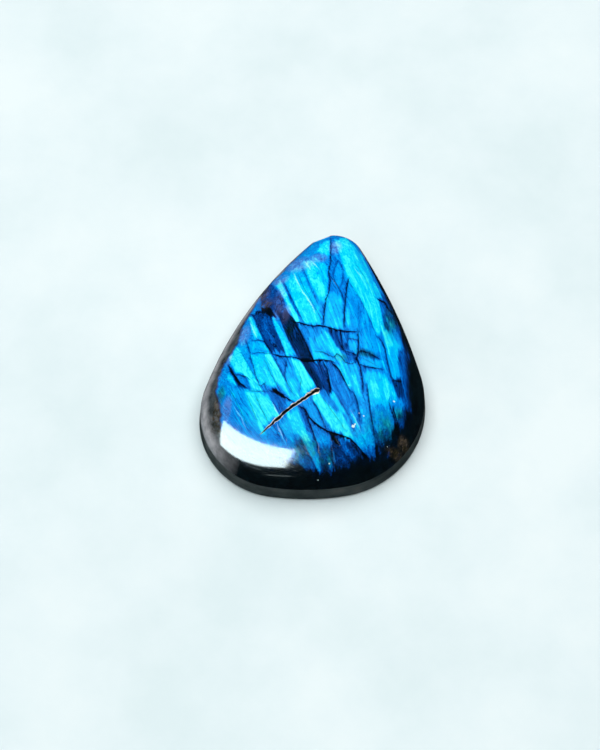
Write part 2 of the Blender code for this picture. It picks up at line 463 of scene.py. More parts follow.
def fissure_blade():
    """The blade that cuts the fissure: seven edges along the crack, joined into a closed bar."""
    middle = walk(FISSURE, FISSURE_STEPS)
    way = np.gradient(middle, axis=0)
    across = np.column_stack([-way[:, 1], way[:, 0]]) / np.linalg.norm(way, axis=1)[:, None]
    middle = middle + across * 0.10 * (ragged(FISSURE_STEPS, 4, 5) - 0.5)[:, None]
    upper, lower = SLOT + UPPER_LIP, -SLOT - LOWER_LIP
    edges = [(upper, -BLADE_ABOVE), (lower, -BLADE_ABOVE), (lower, 0.0), (-SLOT, LIP_DEPTH),
             (0 * SLOT, FISSURE_DEPTH * TAPER), (SLOT, LIP_DEPTH), (upper, 0.0)]
    verts = []
    for side, down in edges:
        flat = middle + across * side[:, None]
        verts.append(np.column_stack([flat, dome_height(flat) - down * np.minimum(1, TAPER * 2)]))
    verts = np.stack(verts, axis=1).reshape(-1, 3) * MM
    count = len(edges)
    faces = [tuple(range(count)), tuple(range((FISSURE_STEPS - 1) * count, FISSURE_STEPS * count))]
    for row in range(FISSURE_STEPS - 1):
        for i in range(count):
            j = (i + 1) % count
            faces.append((row * count + i, row * count + j, (row + 1) * count + j, (row + 1) * count + i))
    return mesh_object("fissure_blade", verts.tolist(), faces, weathered)


# %% The chip's cutter and the cuts
CHIP_MIDDLE = Vector((-1.6, 17.1, 3.3)) * MM
CHIP_TURN = math.radians(122)
CHIP_RISE = math.radians(27)
CHIP_CURVE = 9.0 * MM


def chip_cutter():
    """A ball whose side bites the shell-shaped chip."""
    ball = bmesh.new()
    bmesh.ops.create_uvsphere(ball, u_segments=120, v_segments=60, radius=CHIP_CURVE)
    mesh = bpy.data.meshes.new("chip_cutter")
    ball.to_mesh(mesh)
    ball.free()
    facing = Vector((math.cos(CHIP_TURN) * math.cos(CHIP_RISE), math.sin(CHIP_TURN) * math.cos(CHIP_RISE),
                     math.sin(CHIP_RISE)))
    cutter = bpy.data.objects.new("chip_cutter", mesh)
    cutter.location = CHIP_MIDDLE + facing * CHIP_CURVE
    bpy.context.scene.collection.objects.link(cutter)
    return cutter


cutters = [fissure_blade(), chip_cutter()]
for cutter in cutters:
    cutter.hide_render = True
    cut = stone.modifiers.new(cutter.name, "BOOLEAN")
    cut.operation = "DIFFERENCE"
    cut.solver = "EXACT"
    cut.material_mode = "TRANSFER"
    cut.object = cutter
as_plain_mesh(stone)
for helper in [*cutters, outline_guide, section_guide]:
    bpy.data.objects.remove(helper)
stone.data.set_sharp_from_angle(angle=math.radians(32))
print("cut stone:", len(stone.data.vertices), "points,", [m.name for m in stone.data.materials])

# %% [markdown]
# ## Where the flash lies
# The slats of colour are the stone's own crystals, cut across by the dome. Their flash is a painted sheen: in the
# stone it turns with the light, and here it is painted into the colour as it shows under one light. Each slat shows
# nearly one tone over its whole width and stops sharply at its neighbour, so noise alone can't make them: the main
# slats are placed one by one, in millimetres on the dome, and noise only adds what is too fine to place. They are
# painted on the mesh's points as attributes, which travel with the mesh and turn with it.

# %% Points to paint
mesh = stone.data
points = np.empty(len(mesh.vertices) * 3, dtype=np.float32)
mesh.vertices.foreach_get("co", points)
points = points.reshape(-1, 3).astype(float) / MM
flat = points[:, :2]


def paint(name, values):
    """Stores one number or one vector for each point of the stone's mesh."""
    values = np.asarray(values, dtype=np.float32)
    kind = "FLOAT" if values.ndim == 1 else "FLOAT_VECTOR"
    layer = mesh.attributes.new(name, kind, "POINT")
    layer.data.foreach_set("value" if values.ndim == 1 else "vector", values.ravel())
    print("painted", name, np.round(values.min(0), 2), np.round(values.max(0), 2))


def nearest_on(at, line):
    """Distance from each place to a line of straight runs, the side it lies on, and how far along that is."""
    line = np.array(line, float)
    best, side, along, walked = np.full(len(at), np.inf), np.ones(len(at)), np.zeros(len(at)), 0.0
    for a, b in zip(line, line[1:]):
        run = b - a
        length = np.linalg.norm(run)
        place = np.clip((at - a) @ run / length**2, 0, 1)
        off = at - a - place[:, None] * run
        distance = np.linalg.norm(off, axis=1)
        nearer = distance < best
        best = np.where(nearer, distance, best)
        side = np.where(nearer, np.sign(run[0] * off[:, 1] - run[1] * off[:, 0]), side)
        along = np.where(nearer, walked + place * length, along)
        walked += length
    return best, side, along, walked


def depth_in(at, polygon):
    """How far inside a closed polygon each place lies, in mm, and less than 0 outside it."""
    crossings = np.zeros(len(at), dtype=int)
    for (x1, y1), (x2, y2) in zip(polygon, [*polygon[1:], polygon[0]]):
        spans = (y1 > at[:, 1]) != (y2 > at[:, 1])
        crossed = x1 + (at[:, 1] - y1) * (x2 - x1) / (y2 - y1 if y2 != y1 else 1e-9)
        crossings += spans & (at[:, 0] < crossed)
    distance = nearest_on(at, [*polygon, polygon[0]])[0]
    return np.where(crossings % 2 == 1, distance, -distance)


# %% The lamellae's own directions
# The lamellae fan out a little across the stone, as if from one far point. The first number counts millimetres
# across them, the second along them.
FAN_POLE = np.array([22.6, -45.8])
FAN_MIDDLE = np.array([0.0, -2.0])


def along_grain(places):
    """Places on the dome as millimetres across the lamellae and millimetres along them."""
    spread = np.asarray(places, float) - FAN_POLE
    to_middle = FAN_MIDDLE - FAN_POLE
    turn = np.arctan2(spread[:, 1], spread[:, 0]) - math.atan2(to_middle[1], to_middle[0])
    return np.column_stack([-turn * np.linalg.norm(to_middle), np.linalg.norm(spread, axis=1)])


def jagged(across, step, seed):
    """A random height from -1 to 1 for each step across the lamellae, the same all along them."""
    heights = np.random.default_rng(seed).uniform(-1, 1, 600)
    return np.interp(across / step + 300, np.arange(600), heights)


grain = along_grain(flat)
paint("grain", np.column_stack([grain, points[:, 2]]))

# %% Slats of flash
# Each slat has a tone, from 0, dark, over deep blue and azure to 1, the brightest cyan, and then its corners.
# Later slats lie over earlier ones. A slat's long sides are sharp, but its ends fray out along the lamellae.
FIELD_TONE = 0.58
SLAT_EDGE = 0.17       # the width of the step across a slat's side
END_LENGTH = 3.6       # how many times longer the step at a slat's end is
FRAY = 0.34            # how far single lamellae run past a slat's end, or stop short of it
SLATS = {
    # The foot's near-black tone is painted shade: the flash dying out on the steep foot.
    "foot": (0.06, (-3.4, -16.5), (-0.7, -16.3), (3.3, -16.5), (5.5, -14.4), (8.5, -13), (10.8, -5.8),
        (12.5, -4.9), (13.2, -8.8), (12.1, -11.9), (9.9, -14.5), (6.1, -16.8), (2.5, -17.7),
        (-0.4, -18.1), (-3.2, -18.1)),
    "right border": (0.40, (6.6, 8.4), (7.6, 9.3), (9.5, 4.9), (11, 1.6), (11.9, -2.9), (12.5, -7.1),
        (11, -7.8), (10.3, -3.7), (9.4, 0.5), (7.8, 3.9)),
    "right border's blue": (0.60, (7.9, 5.2), (8.9, 4.7), (10.1, 2.7), (10.6, 1.3), (10, 0.9),
        (8.8, 2.7)),
    "tip cap": (0.62, (-4.2, 14.2), (-2.7, 15.5), (-0.5, 17.4), (0.2, 11.4), (-1.5, 12.4),
        (-3.6, 12.6)),
    "tip cap's light": (0.95, (-1.7, 15.5), (-0.5, 16.2), (-0.1, 12.9), (-1.8, 13.6)),
    "right band": (0.93, (0, 16.5), (1.5, 17.4), (4, 13.3), (5.4, 10.7), (6.8, 7.4), (7.8, 3.4),
        (6.9, 2.3), (4.7, 6.2), (2.4, 9.7)),
    "right band's outer strip": (0.80, (2.3, 16.7), (3.9, 14.6), (6.2, 10), (7.1, 8.4), (6.6, 7.7),
        (5.2, 10.5), (3.3, 14)),
    "right of the tip crack": (0.55, (-0, 13.2), (0.6, 13), (1.4, 12), (2.8, 8.7), (2.5, 7.4), (2.4, 6),
        (1.5, 7.6), (0.3, 10.1)),
    "diamond": (0.68, (1, 11.9), (1.7, 10.7), (1.9, 8.7), (1.5, 7.8), (0.9, 9), (0.8, 10.7)),
    "middle column": (0.64, (2.7, 8.6), (3.3, 8.2), (4.7, 6.4), (5.7, 4.4), (5, 1.9), (3.2, 1.6),
        (2.8, 3.6), (2.6, 6.4)),
    "column's left light": (0.80, (2.9, 5.2), (3.4, 4.4), (3.5, 2.1), (3, 2.3)),
    "wedge": (0.76, (0.6, 6.8), (1.2, 6.8), (2.1, 5.9), (2.7, 3.3), (2.9, 1.5), (0.5, 1.7), (0.4, 5.2)),
    "upper left block": (0.80, (-5.5, 8.5), (-5, 10.5), (-3.5, 12), (-1.9, 12.4), (-0.1, 10.7),
        (0.5, 6), (0.4, 1.8), (-2.4, 2), (-4.1, 5.1)),
    "block's first light": (0.95, (-3.4, 12), (-2.4, 11.8), (-1.2, 9.1), (0.5, 6.3), (0.4, 4.9),
        (-0.9, 6), (-2.2, 8.6)),
    "block's second light": (0.92, (-5, 9.3), (-4.1, 9.5), (-2.9, 6.8), (-1.7, 4.6), (-0.4, 2.2),
        (-1.9, 1.7), (-3, 3.5), (-4.1, 5.7)),
    "block's azure line": (0.62, (-3.8, 11.1), (-3.4, 11), (-2, 7.9), (-0.5, 5.1), (-0.7, 4.8),
        (-2.2, 7.3)),
    "block's azure corner": (0.62, (-0.5, 5.3), (0.4, 4.8), (0.4, 1.7), (-0, 1.9), (-0.7, 3.7)),
    "left light slat": (1.00, (-6.7, 8.8), (-6, 9), (-4.3, 5.2), (-2.6, 2.3), (-3.3, 2.1), (-5.3, 6)),
    "dark line beside it": (0.50, (-5.8, 9), (-5.4, 8.5), (-4.1, 5.7), (-2.2, 2), (-2.6, 2.1),
        (-4.3, 5.1)),
    "muted block by the notch": (0.34, (-8.5, 8), (-7.2, 9), (-5.3, 5.8), (-3.7, 1.9), (-4.5, 1.6),
        (-6.4, 3.8), (-7.9, 5)),
    "black of the notch": (0.03, (-7.8, 4.6), (-6.6, 4.2), (-5.6, 2.5), (-6.4, 2.4), (-7.7, 3.7),
        (-9, 3.4)),
    "notch": (0.29, (-9, 3.6), (-7.7, 3.9), (-6.4, 2.7), (-3.7, -2.5), (-5.6, -2.7), (-6.8, -1),
        (-7.9, 1)),
    "notch's inner blue": (0.36, (-7.7, 2.5), (-6.8, 2.4), (-5.7, -1), (-6.6, -0.7)),
    "short light slat": (1.00, (-9.4, 3.5), (-8.9, 3.4), (-7.4, -0.4), (-8, -0.6)),
    "short slat's azure side": (0.78, (-9, 3.4), (-8.7, 3.1), (-6.9, -1), (-7.4, -0.7)),
    "dark band": (0.19, (-5.8, 3.6), (-4.3, 3.2), (-3, 2), (-0.8, -1.9), (-0.3, -3.2), (1.1, -4.5),
        (2.7, -7.5), (0.7, -7.2), (-2.1, -3.4), (-3.8, -0.7)),
    "dark band's right part": (0.30, (-0.9, -3.6), (0.5, -3.3), (1.9, -5.7), (2.6, -7.3), (1.7, -7.1)),
    "light slat in the notch": (0.88, (-6.3, 2.7), (-5.9, 2.5), (-3.5, -1.4), (-2.6, -2.9), (-3.7, -3),
        (-5.2, 0.1)),
    "left border's blue": (0.62, (-9.8, 2.2), (-8.9, 1.3), (-7.8, -1.4), (-8.4, -2.5), (-9.1, -1.2),
        (-10.2, 0.4)),
    "above the left cross": (0.72, (-8.8, -0.6), (-7.6, -0.8), (-6.5, -2.7), (-8.1, -2.7)),
    "beside the big left slat": (0.68, (-10.3, -1.1), (-9, -0.9), (-8.2, -3), (-7.2, -5.9),
        (-8.1, -4.8)),
    "big left slat": (1.00, (-10.6, -0.8), (-9.7, -2), (-8.1, -4.8), (-6.2, -7.8), (-7.2, -8),
        (-8, -6.5), (-8.8, -5.7), (-9.8, -5.3), (-10.7, -3.5), (-10.9, -1.8)),
    "left centre block": (0.87, (-8.1, -3), (-6.7, -2.8), (-4.3, -6.9), (-4.7, -7.6), (-6, -7),
        (-6.6, -7.3), (-7.5, -5.4)),
    "left centre light's head": (0.85, (-7.5, -1), (-6.9, -1.2), (-5.9, -2.5), (-6.6, -2.5)),
    "left centre light": (1.00, (-6.6, -2.8), (-5.7, -2.8), (-3.2, -6.8), (-1.7, -9), (-2.3, -9),
        (-4.6, -6.5)),
    "centre azure": (0.48, (-5.4, -3.2), (-3.8, -3.3), (-2.8, -5.2), (-3.2, -6), (-2.8, -7.6),
        (-4.4, -4.8)),
    "centre middle": (0.74, (-3.5, -4.4), (-2.3, -4.9), (-1.5, -6.8), (-0.9, -8.3), (-1.6, -9),
        (-2.2, -9), (-3.2, -7.1)),
    "centre middle's light": (0.88, (-2.9, -6.3), (-2.1, -6.5), (-1.3, -8.7), (-2.2, -9)),
    "centre light": (1.00, (-3.1, -3.4), (-2, -3.6), (0.4, -6.8), (-0.6, -7.8), (-1, -8.2), (-2, -5.6)),
    "low left azure": (0.60, (-11.6, -4.6), (-10.6, -4.9), (-8, -8.3), (-6.1, -13.1), (-7.4, -12.7),
        (-10.6, -7.9)),
    "low left bright": (0.88, (-10.9, -5.3), (-10.1, -5.7), (-9.3, -7.2), (-10, -7.1)),
    "low left line": (0.82, (-10.9, -6.7), (-10.5, -6.8), (-8.1, -10.9), (-7.3, -12.5), (-8.5, -10.8)),
    "low left dark": (0.28, (-10.9, -3.9), (-10.3, -4.7), (-9.1, -6.7), (-8.2, -7.5), (-9.1, -7.5),
        (-10.4, -5.4)),
    "slab left of the fissure": (0.99, (-8.5, -7.9), (-5.6, -8.2), (-3.7, -10.7), (-4.8, -12.1),
        (-5.6, -13.1), (-7.4, -10.1)),
    "slab's left strip": (0.70, (-9, -7.9), (-8.4, -7.9), (-5.7, -13.1), (-6.4, -12.7), (-7.9, -10.1)),
    "wedge above the fissure": (0.42, (-5.5, -8), (-4.5, -7.9), (-2, -9.2), (-2.5, -10.3),
        (-3.4, -11.1), (-4.3, -10)),
    "wedge's light": (0.72, (-3.1, -8.8), (-2, -9.2), (-2.4, -10.1), (-2.9, -9.8)),
    "wedge's head": (0.04, (-4.9, -7.8), (-4.1, -7.8), (-3.2, -8.5), (-4, -8.6)),
    "under the long crack": (0.58, (-3.1, 1.8), (0.5, 1.4), (2.4, -1.8), (1.3, -2.2), (0.1, -1.8),
        (-0.4, -3), (-1.6, -0.8)),
    "light beside the dark band": (0.86, (-1.3, -0.2), (-0.9, -0.5), (0.5, -2.9), (-0.4, -3)),
    "light under the long crack": (0.82, (-0.3, 0.4), (0.4, 0.4), (2, -1.8), (0.6, -1.9), (-0.4, -1)),
    "bright slat under it": (0.95, (0.3, 1.2), (0.8, 1.2), (2.5, -1.2), (3.8, -3.2), (3, -3.2),
        (1.9, -1.8)),
    "strip over the cross crack": (0.82, (-0.3, -1.9), (0.7, -2), (2.1, -2.5), (2.4, -3), (-0.3, -3.2)),
    "deep window": (0.30, (0.9, 1.3), (3, 1.2), (4.4, -1.4), (3.3, -1.6), (2.3, -1.1)),
    "window's blue": (0.50, (2.7, 1), (3.4, 1), (3.7, -0.5), (3, -0.5)),
    "window": (0.68, (3.4, 1.3), (4.6, 1.5), (4.8, 0.6), (3.7, 0.5)),
    "window's lower pane": (0.74, (3.6, 0), (4.7, 0.3), (4.9, -1.6), (4, -1.2)),
    "under the window": (0.38, (3.3, -1.6), (4.3, -1.6), (5, -1.7), (5.2, -2.8), (3.9, -3.1)),
    "right of the down crack": (0.68, (4.8, 1.7), (6.4, 2.5), (7.5, 1.6), (8.3, -0.3), (7, -1),
        (5.2, -0.5)),
    "ragged teal": (0.42, (5.2, -0.5), (6.7, -0.7), (7.8, -1.5), (6.8, -1.8), (5.3, -1.3)),
    "over the tail": (0.76, (5.4, -1.9), (8.2, -1.7), (8.7, -2.6), (7.2, -2.9), (5.5, -2.7)),
    "edge column": (0.74, (7.7, 3), (8.9, 3.1), (9.9, 1.5), (10, -1.1), (10.7, -3.4), (9.5, -3.7),
        (8.4, 0.1)),
    "edge column's core": (0.92, (7.3, 3.5), (8.2, 3.1), (9.3, 1.2), (8.8, -0.2)),
    "middle azure": (0.52, (0.6, -3.4), (2.1, -3.2), (4.8, -6.6), (5.9, -8.7), (5.9, -10.4),
        (3.2, -7.5), (2, -5.7)),
    "middle light line": (0.90, (2.5, -3.3), (3.3, -3), (4.4, -4.8), (5, -6.3), (4.6, -6.5),
        (3.4, -4.7)),
    "middle right": (0.70, (3.3, -3.2), (5.3, -2.9), (6.2, -7), (8.1, -12), (7.2, -12.2), (6.4, -9.5)),
    "middle right's light": (0.88, (4.3, -4.5), (5.2, -4.7), (6.2, -7.4), (5.6, -7.2)),
    "right light": (0.82, (5.9, -3.9), (7.7, -3.3), (9.5, -4.2), (10.4, -6.2), (9.5, -6.8), (10, -7.9),
        (7.5, -8.6), (6.8, -6.4)),
    "right light's left core": (0.95, (6.8, -4.8), (7.9, -5.1), (8.5, -6.9), (7.6, -7)),
    "right light's right core": (0.96, (8.3, -4), (9.2, -4.5), (9.7, -6.5), (9.1, -6.9)),
    "right light's foot": (0.62, (7.4, -8), (9.8, -7.3), (10.8, -9.3), (9.9, -10.8), (8.3, -11.5)),
    "right light's end": (0.38, (8.1, -11.1), (10.2, -10), (10.2, -11.8), (8.8, -12.7)),
    "right light's last": (0.22, (8.6, -12.3), (10.2, -11.1), (10.4, -13.5), (9.2, -14)),
    "beside the low right crack": (0.62, (9.5, -6.2), (10.9, -6), (11.7, -7.2), (10.7, -8.6)),
    "its foot, beside it": (0.30, (10.6, -8.1), (11.7, -7), (12, -8.8), (11.2, -9.8)),
    "navy by the right edge": (0.26, (9.4, -3.8), (10.7, -3.6), (11.6, -6), (10.5, -5.9)),
    "slab right of the fissure": (1.00, (0.1, -8.3), (0.9, -7.6), (2.9, -9.3), (3.9, -9.6),
        (5.9, -12.6), (4.5, -12.3), (3.1, -12), (1.6, -10.3)),
    "slab's azure line": (0.64, (1.1, -7.9), (1.5, -7.8), (3.2, -9.5), (2.8, -9.6)),
    "slab's second light": (0.90, (1.9, -7.2), (2.7, -7.3), (4.6, -9.9), (3.8, -9.6)),
    "right of the slab": (0.56, (2.8, -7.3), (4.2, -7.2), (6.4, -10.7), (6.1, -12.2), (4, -9)),
    "thin light there": (0.88, (4.9, -9.5), (5.2, -9.4), (6.6, -11.3), (6.3, -11.5)),
    "slab's tail": (0.72, (5.4, -11.5), (6.6, -10.8), (8, -12), (8.3, -12.7), (7.8, -13.8),
        (6.1, -12.8)),
    "tail's foot": (0.45, (6.8, -13.1), (8.3, -12.6), (8.7, -13.9), (7.7, -14)),
    "over the lower crack": (0.68, (-0.9, -9.2), (0, -8.7), (2.3, -11.7), (1.2, -11.4), (-0.3, -10)),
    "blue under the fissure": (0.45, (-1.4, -9.6), (-0.8, -9.6), (0.9, -12.3), (0.2, -12.6)),
    "light under the fissure": (0.90, (-2.7, -10.9), (-1.6, -9.9), (0.5, -13.5), (-0.2, -13.7),
        (-1.8, -12.5)),
    "its core": (1.00, (-0.9, -12.4), (-0, -12.6), (0.5, -13.6), (-0.2, -13.7)),
    "azure beside the highlight": (0.72, (-3.6, -11.7), (-2.7, -11), (-1.6, -12.7), (-1.6, -13.6),
        (-2.9, -13)),
    "teal field": (0.42, (-1.5, -13.6), (-0.1, -13.5), (1.9, -16.7), (0.2, -16.3)),
    "long streak": (0.74, (-0.4, -13.6), (0.5, -13.5), (2.1, -15.9), (2.2, -16.9), (0.5, -14.8)),
    "thin streak": (0.60, (-1.8, -13.7), (-1.5, -13.7), (0.1, -15.6), (-0.2, -15.7)),
    "under the lower crack": (0.60, (0.3, -11.3), (2.6, -12), (3.1, -13.7), (1.5, -14.1)),
    "its foot": (0.40, (1.4, -14), (3.1, -13.7), (3.9, -16.2), (2.3, -16.6)),
    "small streak": (0.58, (2.9, -15.3), (3.3, -15.2), (3.9, -16.1), (3.5, -16.3)),
    "deep blue": (0.24, (2.8, -12.2), (4.7, -12.5), (7, -13.7), (6.6, -14.8), (5.3, -15.8),
        (4.1, -16.1)),
    "deep blue's light": (0.42, (3.6, -12.6), (4.4, -12.6), (6, -14.2), (5.3, -14.6)),
    "deep blue's second light": (0.34, (4.1, -14.4), (4.6, -14.4), (5.5, -15.5), (5.1, -15.7)),
}

flash = np.full(len(flat), FIELD_TONE)
frayed = grain[:, 1] + FRAY * (jagged(grain[:, 0], 0.13, 1) + jagged(grain[:, 0], 0.45, 2))
squeezed = np.column_stack([grain[:, 0], frayed / END_LENGTH])
for tone, *corners in SLATS.values():
    corners = along_grain(corners) / (1, END_LENGTH)
    step = np.clip(0.5 + depth_in(squeezed, corners) / SLAT_EDGE, 0, 1)
    flash += (tone - flash) * step * step * (3 - 2 * step)
paint("flash", flash)

# %% The edge of the flash
# The flash doesn't reach the whole edge of the dome. Outside it the stone shows its grey or near-black body, and at
# the very rim on the left a painted reflection. The edge is sharp at the left and at an old break there, and fades
# out over long streaks at the foot. The long fade at the foot and on the right is painted shade, where the steep
# dome turns the flash away from the light.
FLASH_EDGE = [
    (0.2, 18.6), (-0.5, 17.6), (-2.1, 16.8), (-3.4, 15.5), (-4.7, 13.4), (-5.5, 12.0), (-6.2, 10.9), (-7.0, 10.0),
    (-7.6, 9.3), (-7.9, 8.5), (-8.3, 7.7), (-8.7, 6.6), (-9.0, 5.6), (-9.4, 4.4), (-9.7, 3.2), (-10.1, 1.8),
    (-10.3, -0.3), (-10.8, -1.8), (-11.4, -3.1), (-11.9, -4.5), (-12.0, -5.9), (-12.0, -7.4), (-11.5, -9.0),
    (-11.2, -10.1), (-11.0, -11.3), (-10.7, -12.4), (-9.6, -13.9), (-7.1, -15.3), (-4.4, -16.0), (-2.1, -16.2),
    (0.2, -16.6), (2.4, -16.8), (4.2, -16.3), (5.8, -15.6), (7.3, -14.9), (8.3, -14.3), (9.4, -13.6),
    (10.2, -12.8), (10.9, -11.8), (11.5, -10.7), (11.9, -9.2), (12.1, -7.8), (12.0, -6.2), (11.7, -4.4),
    (11.6, -2.5), (11.3, -0.9), (11.2, 0.7), (10.7, 2.4), (9.9, 4.2), (9.0, 6.1), (8.2, 7.7), (7.5, 9.0),
    (6.8, 10.3), (5.9, 12.2), (4.8, 14.1), (3.7, 15.9), (2.7, 17.4), (1.7, 18.3)]
LEFT_SOFTNESS = 0.40
RIGHT_SOFTNESS = 0.80
FOOT_SOFTNESS = 1.6
left_side = np.clip((-flat[:, 0] - 4.0 + 0.45 * (flat[:, 1] + 8.0)) / 5.0, 0, 1)
foot_side = np.clip((-8.0 - flat[:, 1] + 0.4 * np.abs(flat[:, 0])) / 6.0, 0, 1) * (1 - left_side)
right_side = np.clip((flat[:, 0] - 7.0) / 3.0, 0, 1) * np.clip((3.0 - flat[:, 1]) / 4.0, 0, 1)
softness = LEFT_SOFTNESS + (RIGHT_SOFTNESS - LEFT_SOFTNESS) * right_side
softness += (FOOT_SOFTNESS - softness) * foot_side
paint("flash_edge", depth_in(flat, FLASH_EDGE) / softness)
